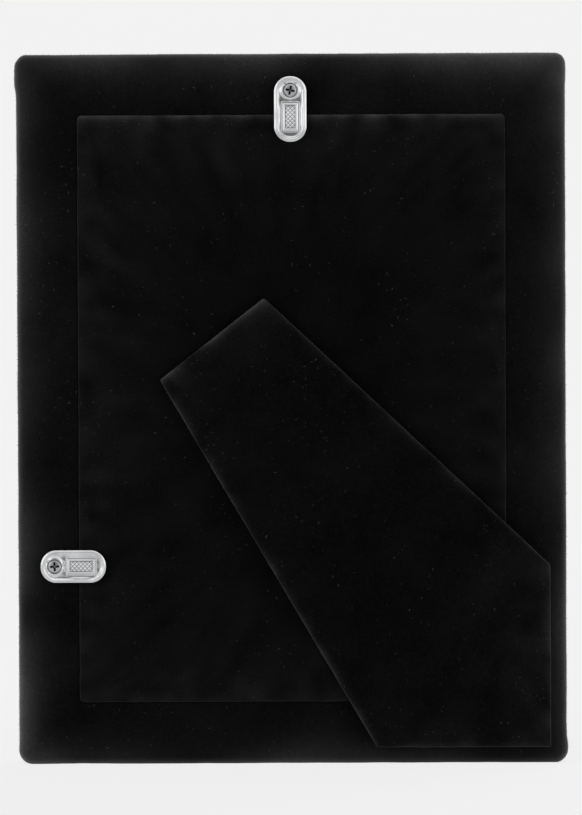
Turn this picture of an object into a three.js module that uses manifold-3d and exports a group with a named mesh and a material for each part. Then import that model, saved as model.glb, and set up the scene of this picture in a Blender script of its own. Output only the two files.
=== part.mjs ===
// Tabletop picture frame with a velvet back, two turn buttons and a strut on a slanted hinge.
//
// It is drawn lying on its face on a bench. x runs to the right as seen from behind, y towards
// the top edge, and z up out of the back. z = 0 is the velvet on the back of the rails. The last
// lines stand it upright.

import * as THREE from 'three';
import { mergeVertices } from 'three/addons/utils/BufferGeometryUtils.js';
import Module from 'manifold-3d';

// Driving dimensions, in millimetres and degrees.

// picture and body
const PHOTO_WIDTH = 130;
const PHOTO_HEIGHT = 180;
const RAIL_WIDTH = 20; // from the edge of the picture to the outer edge
const OUTER_CORNER = 4;
const BODY_DEPTH = 9; // covered with velvet
const EDGE_ROLL_WIDTH = 7;
const EDGE_ROLL_DROP = 2.8;
const BODY_VELVET = 0.8;

// back panel
const PANEL_OVERLAP = 1.1; // past the edge of the picture
const PANEL_GAP = 0.5; // to the opening in the body
const PANEL_PROUD = 0.5; // above the velvet of the body
const PANEL_CORNER = 2;
const PANEL_BOARD = 2.4;
const SKIN_VELVET = 0.6; // on the panel and the strut
const SKIN_ROUND = 0.5; // edges of the panel and the strut
const LINING = 0.3;
const TONGUE_WIDTH = 12;
const TONGUE_LENGTH = 9; // inside the panel
const TONGUE_REACH = 3; // past the edge of the panel
const TONGUE_SHEET = 0.6;

// picture stack
const CARD = 2;
const INSERT = 0.3;
const GLASS = 2;
const STACK_GAP = 0.3; // sideways

// front moulding
const SHEET = 0.8;
const FRONT_DEPTH = 5; // in front of the velvet
const FRONT_ROLL_WIDTH = 5;
const FRONT_ROLL_DROP = 3;
const CROWN_FLAT = 4;
const SIGHT_LAP = 4; // over the glass
const SIGHT_CORNER = 1;
const BEAD_WIDTH = 1.8;
const BEAD_RISE = 0.7;

// corner nails
const NAIL_SPREAD = 4;
const NAIL_RISE = 3;
const NAIL_SHEET = 0.6;
const NAIL_LENGTH = 6;

// turn buttons and their screws
const BUTTON_LENGTH = 20.4;
const BUTTON_WIDTH = 10.2;
const BUTTON_END = 4.9;
const BUTTON_HEIGHT = 1.6;
const BUTTON_RIM = 1.5;
const BUTTON_DISH = 0.45;
const BUTTON_SHEET = 0.6;
const PIVOT_FROM_END = 4.4;
const COLLAR_RADIUS = 3.4;
const COLLAR_RISE = 0.4;
const CARTOUCHE_WIDTH = 6.1;
const CARTOUCHE_LENGTH = 9.4;
const CARTOUCHE_STEP = 0.55;
const CARTOUCHE_RISE = 0.2;
const SCREW_HEAD_RADIUS = 2;
const SCREW_HEAD_HEIGHT = 1.1;
const SCREW_SHANK_RADIUS = 1.1;
const SCREW_LENGTH = 8;
const CROSS_LENGTH = 2.7;
const CROSS_WIDTH = 0.55;
const CROSS_DEPTH = 0.7;
const TOP_SCREW_FROM_EDGE = 11.6;
const SIDE_SCREW_FROM_EDGE = 11.5;
const SIDE_SCREW_HEIGHT = 61.6; // above the bottom edge
const TOP_CROSS_TURN = -9;
const SIDE_CROSS_TURN = 3;

// strut
const STRUT_SIDE_GAP = 5.6; // foot corner to the side edge
const STRUT_BOTTOM_GAP = 5.2; // foot corner to the bottom edge
const PORTRAIT_FOOT = 53.5;
const LANDSCAPE_FOOT = 56.8;
const HINGE_EDGE = 40.5;
const HINGE_EDGE_ANGLE = 38; // above level
const HINGE_EDGE_X = -24.7; // its middle, from the centre line
const HINGE_EDGE_HEIGHT = 131.1; // its middle, above the bottom edge
const STRUT_CORNER = 1.2;
const STRUT_BOARD = 2;
const STRUT_OPENING = 30;

// hinge
const HINGE_LENGTH = 28;
const HINGE_REACH = 13.5;
const HINGE_SETBACK = 2; // axis to the edge of the strut
const KNUCKLE_RADIUS = 1;
const PIN_RADIUS = 0.45;
const LEAF_SHEET = 0.5;
const LEAF_WIDTH = 13.6; // inner leaf
const LEAF_BRIDGE = 3.2; // outer leaf, past the inner one
const RIVET_RADIUS = 0.8;
const RIVET_HEAD = 1.4;
const RIVET_RISE = 0.4;

// clearances
const SEAT = 0.05; // between pieces that lie on each other
const SLIP = 0.25; // around pieces that move or are cut in
const STRUT_GAP = 0.3; // closed strut to the panel
const STOP_GAP = 0.15; // open strut to the panel

// facets
const CORNER_STEPS = 4;
const ROLL_STEPS = 6;
const COVE_STEPS = 7;
const BEAD_STEPS = 5;
const ROUND_SIDES = 24;
const RIVET_SIDES = 12;

// Sizes that follow.

const outerWidth = PHOTO_WIDTH + 2 * RAIL_WIDTH;
const outerHeight = PHOTO_HEIGHT + 2 * RAIL_WIDTH;
const panelWidth = PHOTO_WIDTH + 2 * PANEL_OVERLAP;
const panelHeight = PHOTO_HEIGHT + 2 * PANEL_OVERLAP;
const openingInset = RAIL_WIDTH - PANEL_OVERLAP - PANEL_GAP;
const rabbetInset = RAIL_WIDTH - STACK_GAP;
const sightInset = RAIL_WIDTH + SIGHT_LAP;
const beadInset = sightInset - BEAD_WIDTH;
const coveInset = FRONT_ROLL_WIDTH + CROWN_FLAT;
const foldRadius = BODY_VELVET + 6 * SEAT;

// heights on the bench, from the panel down to the crown of the front
const panelBoardTop = PANEL_PROUD - SKIN_VELVET - SEAT;
const panelBoardEnd = panelBoardTop - PANEL_BOARD;
const liningTop = panelBoardEnd - SEAT;
const ledge = liningTop - LINING - SEAT;
const insertTop = ledge - CARD - SEAT;
const glassTop = insertTop - INSERT - SEAT;
const lipBack = glassTop - GLASS - SEAT;
const lipFront = lipBack - SHEET;
const crown = -BODY_DEPTH - FRONT_DEPTH;

// heights on the bench, from the panel up to the face of the strut
const hingeHeight = PANEL_PROUD + KNUCKLE_RADIUS + SLIP;
const strutUnder = STRUT_GAP - KNUCKLE_RADIUS - SLIP; // from the hinge axis
const strutBoardUnder = strutUnder + LINING + SEAT;
const strutBoardTop = strutBoardUnder + STRUT_BOARD;
const strutTop = strutBoardTop + SEAT + SKIN_VELVET;
const backFace = hingeHeight + strutTop;

// heights on the bench, at a turn button
const buttonUnder = PANEL_PROUD + SLIP;
const buttonTop = buttonUnder + BUTTON_HEIGHT;
const dishFloor = buttonTop - BUTTON_DISH;
const pocketTop = dishFloor - BUTTON_SHEET;
const screwSeat = SLIP + BUTTON_SHEET;
const screwHeadUnder = screwSeat + SLIP;
const screwHeadTop = screwHeadUnder + SCREW_HEAD_HEIGHT;

// the hinge, and the corners of the strut in its frame: x along the axis, y from the foot to it
const leafTop = SEAT - SLIP + LEAF_SHEET; // outer leaf
const leafUnder = SEAT - SLIP - KNUCKLE_RADIUS; // inner leaf
const innerReach = HINGE_REACH - LEAF_BRIDGE - 2 * SLIP;
const notchHalf = LEAF_WIDTH / 2 + 1.5 * SLIP;
const innerRivets = [-LEAF_WIDTH / 4, LEAF_WIDTH / 4];
const outerRivets = [-(notchHalf + HINGE_LENGTH / 2) / 2, (notchHalf + HINGE_LENGTH / 2) / 2];
const rivetLine = -innerReach * 0.6;
const hingeTurn = THREE.MathUtils.degToRad(HINGE_EDGE_ANGLE);
const hingeAlong = new THREE.Vector2(Math.cos(hingeTurn), Math.sin(hingeTurn));
const toFoot = new THREE.Vector2(hingeAlong.y, -hingeAlong.x);
const edgeMiddle = new THREE.Vector2(HINGE_EDGE_X, HINGE_EDGE_HEIGHT - outerHeight / 2);
const hingeMiddle = edgeMiddle.clone().addScaledVector(toFoot, HINGE_SETBACK);
const hingeFrame = new THREE.Matrix4()
  .makeRotationZ(hingeTurn)
  .setPosition(hingeMiddle.x, hingeMiddle.y, hingeHeight);
const footX = outerWidth / 2 - STRUT_SIDE_GAP;
const footY = STRUT_BOTTOM_GAP - outerHeight / 2;
const strutCorners = [
  edgeMiddle.clone().addScaledVector(hingeAlong, -HINGE_EDGE / 2),
  new THREE.Vector2(footX - PORTRAIT_FOOT, footY),
  new THREE.Vector2(footX, footY),
  new THREE.Vector2(footX, footY + LANDSCAPE_FOOT),
  edgeMiddle.clone().addScaledVector(hingeAlong, HINGE_EDGE / 2),
].map((corner) => corner.sub(hingeMiddle).rotateAround(new THREE.Vector2(), -hingeTurn));

// Shapes.

const wasm = await Module();
wasm.setup();

// A solid that can be joined and cut, from a closed geometry.
function solid(geometry) {
  const bare = geometry.clone();
  bare.deleteAttribute('normal');
  bare.deleteAttribute('uv');
  const welded = mergeVertices(bare, 1e-4);
  const corners = welded.index.array;
  const faces = [];
  for (let i = 0; i < corners.length; i += 3) {
    const [a, b, c] = corners.slice(i, i + 3);
    if (a !== b && b !== c && c !== a) faces.push(a, b, c);
  }
  return new wasm.Manifold(new wasm.Mesh({
    numProp: 3,
    vertProperties: new Float32Array(welded.attributes.position.array),
    triVerts: new Uint32Array(faces),
  }));
}

function geometryOf(manifold) {
  const mesh = manifold.getMesh();
  const geometry = new THREE.BufferGeometry();
  geometry.setAttribute('position', new THREE.BufferAttribute(mesh.vertProperties, 3));
  geometry.setIndex(new THREE.BufferAttribute(mesh.triVerts, 1));
  geometry.computeVertexNormals();
  return geometry;
}

function join(...geometries) {
  return geometryOf(geometries.map(solid).reduce((all, next) => all.add(next)));
}

function cut(geometry, ...tools) {
  return geometryOf(tools.map(solid).reduce((left, tool) => left.subtract(tool), solid(geometry)));
}

function common(geometry, other) {
  return geometryOf(solid(geometry).intersect(solid(other)));
}

function moved(geometry, matrix) {
  return geometry.clone().applyMatrix4(matrix);
}

function at(x, y, turn = 0) {
  return new THREE.Matrix4().makeRotationZ(THREE.MathUtils.degToRad(turn)).setPosition(x, y, 0);
}

function rectangle(width, height) {
  return [[-1, -1], [1, -1], [1, 1], [-1, 1]].map(
    ([x, y]) => new THREE.Vector2(x * width / 2, y * height / 2),
  );
}

// The points of a convex outline, moved inwards, with its corners rounded.
function outline(corners, inset, radius) {
  return corners.flatMap((corner, i) => {
    const last = corners[(i + corners.length - 1) % corners.length];
    const next = corners[(i + 1) % corners.length];
    const before = corner.clone().sub(last).normalize();
    const after = next.clone().sub(corner).normalize();
    const move = (inset + radius) / before.cross(after);
    const centre = corner.clone().addScaledVector(after, move).addScaledVector(before, -move);
    const start = before.angle() - Math.PI / 2;
    const turn = THREE.MathUtils.euclideanModulo(after.angle() - before.angle(), 2 * Math.PI);
    return Array.from({ length: CORNER_STEPS + 1 }, (_, step) => {
      const angle = start + turn * step / CORNER_STEPS;
      return new THREE.Vector2(Math.cos(angle), Math.sin(angle)).multiplyScalar(radius).add(centre);
    });
  });
}

// A skin over rings of equal point counts, each a list of points with its height. The row of rings
// ends in flat faces, or is closed in a loop by joining the last ring to the first.
function loft(rings, loop = false) {
  const count = rings[0].points.length;
  const faces = [];
  const joins = loop ? rings.length : rings.length - 1;
  for (let row = 0; row < joins; row += 1) {
    const here = row * count;
    const next = ((row + 1) % rings.length) * count;
    for (let i = 0; i < count; i += 1) {
      const j = (i + 1) % count;
      faces.push(here + i, here + j, next + j, here + i, next + j, next + i);
    }
  }
  if (!loop) {
    const last = (rings.length - 1) * count;
    for (let i = 1; i < count - 1; i += 1) {
      faces.push(0, i + 1, i, last, last + i, last + i + 1);
    }
  }
  const points = rings.flatMap((ring) => ring.points.map((p) => new THREE.Vector3(p.x, p.y, ring.z)));
  const geometry = new THREE.BufferGeometry().setFromPoints(points);
  geometry.setIndex(faces);
  return geometry;
}

// A flat piece with square edges.
function plate(points, under, top) {
  const shape = new THREE.Shape(points);
  const geometry = new THREE.ExtrudeGeometry(shape, { depth: top - under, bevelEnabled: false });
  return geometry.translate(0, 0, under);
}

// A flat piece whose upper edge is rounded.
function softPlate(corners, corner, under, top, round) {
  const rings = [{ points: outline(corners, 0, corner), z: under }];
  for (let step = 0; step <= ROLL_STEPS / 2; step += 1) {
    const angle = Math.PI * step / ROLL_STEPS;
    const inset = round * (1 - Math.cos(angle));
    const z = top - round * (1 - Math.sin(angle));
    rings.push({ points: outline(corners, inset, corner - inset), z });
  }
  return loft(rings);
}

// A turned piece on the z axis, from pairs of radius and height, bottom first.
function turned(steps, sides) {
  const profile = steps.map(([radius, z]) => new THREE.Vector2(radius, z));
  profile.unshift(new THREE.Vector2(0, profile[0].y));
  profile.push(new THREE.Vector2(0, profile.at(-1).y));
  return new THREE.LatheGeometry(profile, sides).rotateX(Math.PI / 2);
}

function rod(radius, under, top) {
  const geometry = new THREE.CylinderGeometry(radius, radius, top - under, ROUND_SIDES);
  return geometry.rotateX(Math.PI / 2).translate(0, 0, (under + top) / 2);
}

// A rod along x, its middle on the z axis.
function barrel(radius, length) {
  return new THREE.CylinderGeometry(radius, radius, length, ROUND_SIDES).rotateZ(Math.PI / 2);
}

function block(left, right, low, high, under, top) {
  const geometry = new THREE.BoxGeometry(right - left, high - low, top - under);
  return geometry.translate((left + right) / 2, (low + high) / 2, (under + top) / 2);
}

// Body: front moulding, picture stack, rails, corner nails and velvet.

const outerCorners = rectangle(outerWidth, outerHeight);
const panelCorners = rectangle(panelWidth, panelHeight);
const photoCorners = rectangle(PHOTO_WIDTH, PHOTO_HEIGHT);

const topScrew = at(0, outerHeight / 2 - TOP_SCREW_FROM_EDGE);
const sideScrewHeight = SIDE_SCREW_HEIGHT - outerHeight / 2;
const sideScrew = at(SIDE_SCREW_FROM_EDGE - outerWidth / 2, sideScrewHeight, 90);

// A ring around the frame, from its section: inset, height, and the tightest corner allowed there.
function frameRing(section) {
  return loft(section.map(([inset, z, tightest]) => (
    { points: outline(outerCorners, inset, Math.max(OUTER_CORNER - inset, tightest)), z }
  )), true);
}

// The back of the body at a depth under the face of its velvet: up the side, over the rolled
// edge, across, and down into the opening.
function backSection(depth, end) {
  const section = [[depth, -BODY_DEPTH, PANEL_CORNER]];
  for (let step = 0; step <= ROLL_STEPS; step += 1) {
    const angle = Math.PI / 2 * step / ROLL_STEPS;
    section.push([
      EDGE_ROLL_WIDTH - (EDGE_ROLL_WIDTH - depth) * Math.cos(angle),
      (EDGE_ROLL_DROP - depth) * Math.sin(angle) - EDGE_ROLL_DROP,
      PANEL_CORNER,
    ]);
  }
  for (let step = 0; step <= ROLL_STEPS / 2; step += 1) {
    const angle = Math.PI * step / ROLL_STEPS;
    section.push([
      openingInset - foldRadius + (foldRadius - depth) * Math.sin(angle),
      (foldRadius - depth) * Math.cos(angle) - foldRadius,
      PANEL_CORNER,
    ]);
  }
  section.push([openingInset - depth, end, PANEL_CORNER]);
  return section;
}

// The hollow slope of the front between its crown and the sight edge.
function coveHeight(inset) {
  const along = THREE.MathUtils.clamp((inset - coveInset) / (beadInset - coveInset), 0, 1);
  return THREE.MathUtils.lerp(crown, lipFront, (1 - Math.cos(Math.PI * along)) / 2);
}

// The front at a depth behind its face: down the side, over the rolled edge, and along the slope.
function frontSection(depth, lastInset) {
  const section = [[depth, -BODY_DEPTH - SEAT, SIGHT_CORNER]];
  for (let step = 0; step <= ROLL_STEPS; step += 1) {
    const angle = Math.PI / 2 * step / ROLL_STEPS;
    section.push([
      FRONT_ROLL_WIDTH - (FRONT_ROLL_WIDTH - depth) * Math.cos(angle),
      crown + FRONT_ROLL_DROP - (FRONT_ROLL_DROP - depth) * Math.sin(angle),
      SIGHT_CORNER,
    ]);
  }
  for (let step = 0; step <= COVE_STEPS; step += 1) {
    const inset = THREE.MathUtils.lerp(coveInset, lastInset, step / COVE_STEPS);
    section.push([inset, coveHeight(inset) + depth, SIGHT_CORNER]);
  }
  return section;
}

function frontMoulding() {
  const face = frontSection(0, beadInset);
  for (let step = 1; step <= BEAD_STEPS; step += 1) {
    const angle = Math.PI * step / BEAD_STEPS;
    face.push([
      beadInset + BEAD_WIDTH * (1 - Math.cos(angle)) / 2,
      lipFront - BEAD_RISE * Math.sin(angle),
      SIGHT_CORNER,
    ]);
  }
  const behind = [...frontSection(SHEET, beadInset), [sightInset, lipBack, SIGHT_CORNER]];
  return frameRing([...face.reverse(), ...behind]);
}

// A sheet of the picture stack.
function stackSheet(inset, top, thickness) {
  return plate(outline(photoCorners, inset, STACK_GAP / 2), top - thickness, top);
}

// From the lower side of the panel to its right side, level with the side button.
const rightSide = at(panelWidth / 2 - panelHeight / 2, sideScrewHeight, 90);

// The slots for the two tongues, in the lower and the right rail.
function tongueSlots() {
  const half = TONGUE_WIDTH / 2 + SLIP;
  const edge = -panelHeight / 2;
  const top = panelBoardEnd + TONGUE_SHEET + SLIP;
  const reach = TONGUE_REACH + SLIP;
  const slot = block(-half, half, edge - reach, edge + PANEL_OVERLAP, ledge - SLIP, top);
  return [slot, moved(slot, rightSide)];
}

function screwHoles() {
  const hole = rod(SCREW_SHANK_RADIUS + SLIP, screwHeadUnder - SCREW_LENGTH - SLIP, SLIP);
  return [moved(hole, topScrew), moved(hole, sideScrew)];
}

function bodyVelvet() {
  const turnIn = ledge + SLIP;
  const ring = frameRing([...backSection(0, turnIn), ...backSection(BODY_VELVET, turnIn).reverse()]);
  return cut(ring, ...tongueSlots(), ...screwHoles());
}

// A V-shaped nail across the mitre of the upper right corner, its point towards the picture.
function cornerNail(clearance) {
  const half = NAIL_SHEET / 2 + clearance;
  const spread = NAIL_SPREAD + clearance;
  const rise = NAIL_RISE / 2;
  const points = [
    [0, -rise - half],
    [spread, rise - half],
    [spread, rise + half],
    [0, -rise + half],
    [-spread, rise + half],
    [-spread, rise - half],
  ].map(([x, y]) => new THREE.Vector2(x, y).rotateAround(new THREE.Vector2(), -Math.PI / 4));
  const top = -BODY_VELVET - 2 * SEAT;
  return plate(points, top - NAIL_LENGTH - clearance, top + clearance);
}

// The corners of the frame, counter-clockwise from the upper right one.
const nailPlaces = [[1, 1], [-1, 1], [-1, -1], [1, -1]].map(([x, y], i) => at(
  x * (outerWidth - openingInset) / 2,
  y * (outerHeight - openingInset) / 2,
  90 * i,
));

// The part of the frame that one rail takes, its ends cut on the slant.
function mitre(side) {
  const across = side % 2 === 0 ? outerWidth : outerHeight;
  const along = side % 2 === 0 ? outerHeight : outerWidth;
  const points = [[-1, -1], [1, -1], [1, 1], [-1, 1]].map(([x, y]) => new THREE.Vector2(
    x * (across / 2 + y * sightInset),
    along / 2 + y * sightInset + SEAT,
  ));
  return moved(plate(points, crown, 0), at(0, 0, 90 * side));
}

// The four rails: top, left, bottom, right.
function rails() {
  const behind = backSection(BODY_VELVET + SEAT, ledge);
  const front = frontSection(SHEET + SLIP, rabbetInset).reverse();
  front[0][2] = STACK_GAP / 2;
  const ring = frameRing([...behind, [rabbetInset, ledge, STACK_GAP / 2], ...front]);
  const nailSlots = nailPlaces.map((place) => moved(cornerNail(SLIP), place));
  const slotted = cut(ring, ...tongueSlots(), ...screwHoles(), ...nailSlots);
  return [0, 1, 2, 3].map((side) => common(slotted, mitre(side)));
}

// Back panel, with two steel tongues let into its board.

// A countersunk rivet from a tongue into the board.
function tongueRivet(clearance) {
  return turned([
    [RIVET_HEAD + clearance, panelBoardEnd - clearance],
    [RIVET_HEAD + clearance, panelBoardEnd],
    [RIVET_RADIUS + clearance, panelBoardEnd + TONGUE_SHEET],
    [RIVET_RADIUS + clearance, panelBoardTop - SEAT + clearance],
  ], RIVET_SIDES).translate(0, TONGUE_LENGTH * 0.6 - panelHeight / 2, 0);
}

function tongue() {
  const half = TONGUE_WIDTH / 2;
  const edge = -panelHeight / 2;
  const top = panelBoardEnd + TONGUE_SHEET;
  const strip = block(-half, half, edge - TONGUE_REACH, edge + TONGUE_LENGTH, panelBoardEnd, top);
  return cut(strip, tongueRivet(SLIP));
}

// What the two tongues take out of the panel.
function tongueBeds() {
  const half = TONGUE_WIDTH / 2 + SLIP;
  const edge = -panelHeight / 2;
  const top = panelBoardEnd + TONGUE_SHEET + SEAT;
  const end = edge + TONGUE_LENGTH + SLIP;
  const room = block(-half, half, edge - TONGUE_REACH, end, panelBoardEnd - SLIP, top);
  const bed = join(room, tongueRivet(SLIP));
  return [bed, moved(bed, rightSide)];
}

// What the hinge rivets take out of the panel.
function hingeRivetHoles() {
  return innerRivets.map((x) => moved(innerRivet(SLIP).translate(x, rivetLine, 0), hingeFrame));
}

function panelBoard() {
  const inset = SKIN_VELVET + SEAT;
  const points = outline(panelCorners, inset, PANEL_CORNER - inset);
  return cut(plate(points, panelBoardEnd, panelBoardTop), ...tongueBeds(), ...hingeRivetHoles());
}

function panelVelvet() {
  const points = outline(panelCorners, SKIN_VELVET, PANEL_CORNER - SKIN_VELVET);
  const hollow = plate(points, panelBoardEnd - SLIP, PANEL_PROUD - SKIN_VELVET);
  const skin = softPlate(panelCorners, PANEL_CORNER, panelBoardEnd, PANEL_PROUD, SKIN_ROUND);
  return cut(skin, hollow, ...tongueBeds(), ...hingeRivetHoles());
}

function panelLining() {
  return plate(outline(panelCorners, SLIP, PANEL_CORNER - SLIP), liningTop - LINING, liningTop);
}

// Turn buttons and their screws, drawn on the pivot.

// The stepped rectangle on a turn button, with a sunk bare middle.
function cartoucheStep(step, under, top) {
  const corners = rectangle(CARTOUCHE_WIDTH, CARTOUCHE_LENGTH);
  const level = plate(outline(corners, CARTOUCHE_STEP * step, CARTOUCHE_STEP), under, top);
  return level.translate(0, -COLLAR_RADIUS - CARTOUCHE_LENGTH / 2, 0);
}

// A turn button that points down.
function turnButton() {
  const corners = rectangle(BUTTON_WIDTH, BUTTON_LENGTH);
  corners.forEach((corner) => corner.setY(corner.y + PIVOT_FROM_END - BUTTON_LENGTH / 2));
  const ring = (inset, z) => ({ points: outline(corners, inset, BUTTON_END - inset), z });
  const shell = loft([
    ring(0, buttonUnder),
    ring(0, buttonTop - BUTTON_DISH),
    ring(BUTTON_RIM * 0.1, buttonTop - BUTTON_DISH * 0.45),
    ring(BUTTON_RIM * 0.27, buttonTop - BUTTON_DISH * 0.1),
    ring(BUTTON_RIM * 0.4, buttonTop),
  ]);
  const dish = loft([
    ring(BUTTON_RIM, dishFloor),
    ring(BUTTON_RIM * 0.85, dishFloor + BUTTON_DISH * 0.2),
    ring(BUTTON_RIM * 0.7, dishFloor + BUTTON_DISH * 0.75),
    ring(BUTTON_RIM * 0.5, dishFloor + BUTTON_DISH * 1.05),
  ]);
  const pocket = loft([
    ring(BUTTON_SHEET, buttonUnder - SLIP),
    ring(BUTTON_SHEET, pocketTop - BUTTON_SHEET / 2),
    ring(BUTTON_SHEET * 1.5, pocketTop),
  ]);
  const seatRadius = SCREW_HEAD_RADIUS + SLIP;
  const boss = rod(seatRadius + BUTTON_SHEET, SLIP, dishFloor);
  const collar = turned([
    [COLLAR_RADIUS, pocketTop],
    [COLLAR_RADIUS, dishFloor + COLLAR_RISE * 0.2],
    [COLLAR_RADIUS * 0.95, dishFloor + COLLAR_RISE * 0.75],
    [COLLAR_RADIUS * 0.86, dishFloor + COLLAR_RISE],
    [COLLAR_RADIUS * 0.76, dishFloor + COLLAR_RISE * 0.85],
  ], ROUND_SIDES);
  const lowStep = cartoucheStep(0, dishFloor - BUTTON_SHEET / 2, dishFloor + CARTOUCHE_RISE);
  const highStep = cartoucheStep(1, dishFloor, dishFloor + 2 * CARTOUCHE_RISE);
  const middle = cartoucheStep(2, dishFloor + CARTOUCHE_RISE / 2, buttonTop + BUTTON_HEIGHT);
  const seat = rod(seatRadius, screwSeat, buttonTop + BUTTON_HEIGHT);
  const hole = rod(SCREW_SHANK_RADIUS + SLIP, 0, buttonTop);
  const stamped = join(cut(shell, dish, pocket), boss, collar, lowStep, highStep);
  return cut(stamped, middle, seat, hole);
}

// A cross-head screw.
function buttonScrew(crossTurn) {
  const tip = screwHeadUnder - SCREW_LENGTH;
  const blank = turned([
    [SCREW_SHANK_RADIUS * 0.2, tip],
    [SCREW_SHANK_RADIUS, tip + SCREW_SHANK_RADIUS * 2],
    [SCREW_SHANK_RADIUS, screwHeadUnder],
    [SCREW_HEAD_RADIUS, screwHeadUnder],
    [SCREW_HEAD_RADIUS, screwHeadUnder + SCREW_HEAD_HEIGHT * 0.35],
    [SCREW_HEAD_RADIUS * 0.92, screwHeadUnder + SCREW_HEAD_HEIGHT * 0.7],
    [SCREW_HEAD_RADIUS * 0.7, screwHeadUnder + SCREW_HEAD_HEIGHT * 0.92],
    [SCREW_HEAD_RADIUS * 0.4, screwHeadTop],
  ], ROUND_SIDES);
  const long = CROSS_LENGTH / 2;
  const wide = CROSS_WIDTH / 2;
  const floor = screwHeadTop - CROSS_DEPTH;
  const arm = block(-long, long, -wide, wide, floor, screwHeadTop + SLIP);
  return cut(blank, moved(arm, at(0, 0, crossTurn)), moved(arm, at(0, 0, crossTurn + 90)));
}

// Strut, drawn in the frame of its hinge: x along the axis, y from the foot to the hinge.

function strutVelvet() {
  const points = outline(strutCorners, SKIN_VELVET, STRUT_CORNER - SKIN_VELVET);
  const hollow = plate(points, strutUnder - SLIP, strutTop - SKIN_VELVET);
  const panelFace = STOP_GAP - KNUCKLE_RADIUS - SLIP;
  const far = HINGE_EDGE;
  const panelWhenOpen = block(-far, far, -far, far, panelFace - far, panelFace);
  panelWhenOpen.rotateX(THREE.MathUtils.degToRad(STRUT_OPENING));
  const skin = softPlate(strutCorners, STRUT_CORNER, strutUnder, strutTop, SKIN_ROUND);
  return cut(skin, hollow, panelWhenOpen);
}

// Room for the hinge: for its barrel along the whole edge, and for its leaves.
function hingeRoom() {
  const far = HINGE_EDGE;
  const half = HINGE_LENGTH / 2 + SLIP;
  const barrelRoom = KNUCKLE_RADIUS + 2 * SLIP;
  const under = strutUnder - SLIP;
  return [
    block(-far, far, -barrelRoom, far, under, strutTop),
    block(-half, half, -HINGE_REACH - SLIP, 0, under, leafTop + SEAT),
  ];
}

function strutBoard() {
  const inset = SKIN_VELVET + SEAT;
  const points = outline(strutCorners, inset, STRUT_CORNER - inset);
  const holes = outerRivets.map((x) => outerRivet(SLIP).translate(x, rivetLine, 0));
  return cut(plate(points, strutBoardUnder, strutBoardTop), ...hingeRoom(), ...holes);
}

function strutLining() {
  const inset = SKIN_VELVET + SEAT;
  const points = outline(strutCorners, inset, STRUT_CORNER - inset);
  return cut(plate(points, strutUnder, strutUnder + LINING), ...hingeRoom());
}

// The leaf on the strut, notched for the other one.
function outerLeaf() {
  const half = HINGE_LENGTH / 2;
  const strip = block(-half, half, -HINGE_REACH, 0, leafTop - LEAF_SHEET, leafTop);
  const notch = block(-notchHalf, notchHalf, LEAF_BRIDGE - HINGE_REACH, half, -half, half);
  const holes = outerRivets.map((x) => outerRivet(SLIP / 2).translate(x, rivetLine, 0));
  const leaf = join(strip, barrel(KNUCKLE_RADIUS, HINGE_LENGTH));
  return cut(leaf, notch, barrel(PIN_RADIUS + SLIP / 2, 2 * HINGE_LENGTH), ...holes);
}

// The leaf on the panel.
function innerLeaf() {
  const half = LEAF_WIDTH / 2;
  const strip = block(-half, half, -innerReach, 0, leafUnder, leafUnder + LEAF_SHEET);
  const holes = innerRivets.map((x) => innerRivet(SLIP / 2).translate(x, rivetLine, 0));
  const leaf = join(strip, barrel(KNUCKLE_RADIUS, LEAF_WIDTH));
  return cut(leaf, barrel(PIN_RADIUS + SLIP / 2, 2 * HINGE_LENGTH), ...holes);
}

// A round-headed rivet with its head down, from the outer leaf into the strut.
function outerRivet(clearance) {
  const seat = leafTop - LEAF_SHEET - SEAT;
  return turned([
    [RIVET_HEAD * 0.5, seat - RIVET_RISE],
    [RIVET_HEAD * 0.85, seat - RIVET_RISE * 0.7],
    [RIVET_HEAD, seat],
    [RIVET_RADIUS + clearance, seat],
    [RIVET_RADIUS + clearance, strutBoardTop - SEAT + clearance],
  ], RIVET_SIDES);
}

// A round-headed rivet with its head up, from the inner leaf into the panel.
function innerRivet(clearance) {
  const seat = leafUnder + LEAF_SHEET + SEAT;
  return turned([
    [RIVET_RADIUS + clearance, panelBoardEnd + SEAT - clearance - hingeHeight],
    [RIVET_RADIUS + clearance, seat],
    [RIVET_HEAD, seat],
    [RIVET_HEAD * 0.85, seat + RIVET_RISE * 0.7],
    [RIVET_HEAD * 0.5, seat + RIVET_RISE],
  ], RIVET_SIDES);
}

// The scene graph.

const finishes = {
  velvet: { color: 0x0d0d0e, roughness: 0.95, metalness: 0 },
  silver: { color: 0xc9cacb, roughness: 0.15, metalness: 1 },
  nickel: { color: 0xc4c5c6, roughness: 0.2, metalness: 1 },
  steel: { color: 0x9a9da0, roughness: 0.4, metalness: 0.9 },
  wood: { color: 0xb08a5c, roughness: 0.7, metalness: 0 },
  board: { color: 0x6b543c, roughness: 0.8, metalness: 0 },
  card: { color: 0x8d8a83, roughness: 0.9, metalness: 0 },
  paper: { color: 0xf1efe9, roughness: 0.85, metalness: 0 },
  lining: { color: 0x17171a, roughness: 0.85, metalness: 0 },
  glass: { color: 0xe4efec, roughness: 0.05, metalness: 0 },
};

function place(parent, name, geometry, finish) {
  const mesh = new THREE.Mesh(geometry, new THREE.MeshStandardMaterial(finishes[finish]));
  mesh.name = name;
  parent.add(mesh);
  return mesh;
}

function subassembly(parent, matrix) {
  const group = new THREE.Group();
  group.applyMatrix4(matrix);
  parent.add(group);
  return group;
}

// The frame stands on its bottom edge, back towards -y, the middle of its depth at y = 0.
const group = new THREE.Group();
const frame = new THREE.Group();
frame.rotation.x = Math.PI / 2;
frame.position.set(0, (crown + backFace) / 2, outerHeight / 2);
group.add(frame);

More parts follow.
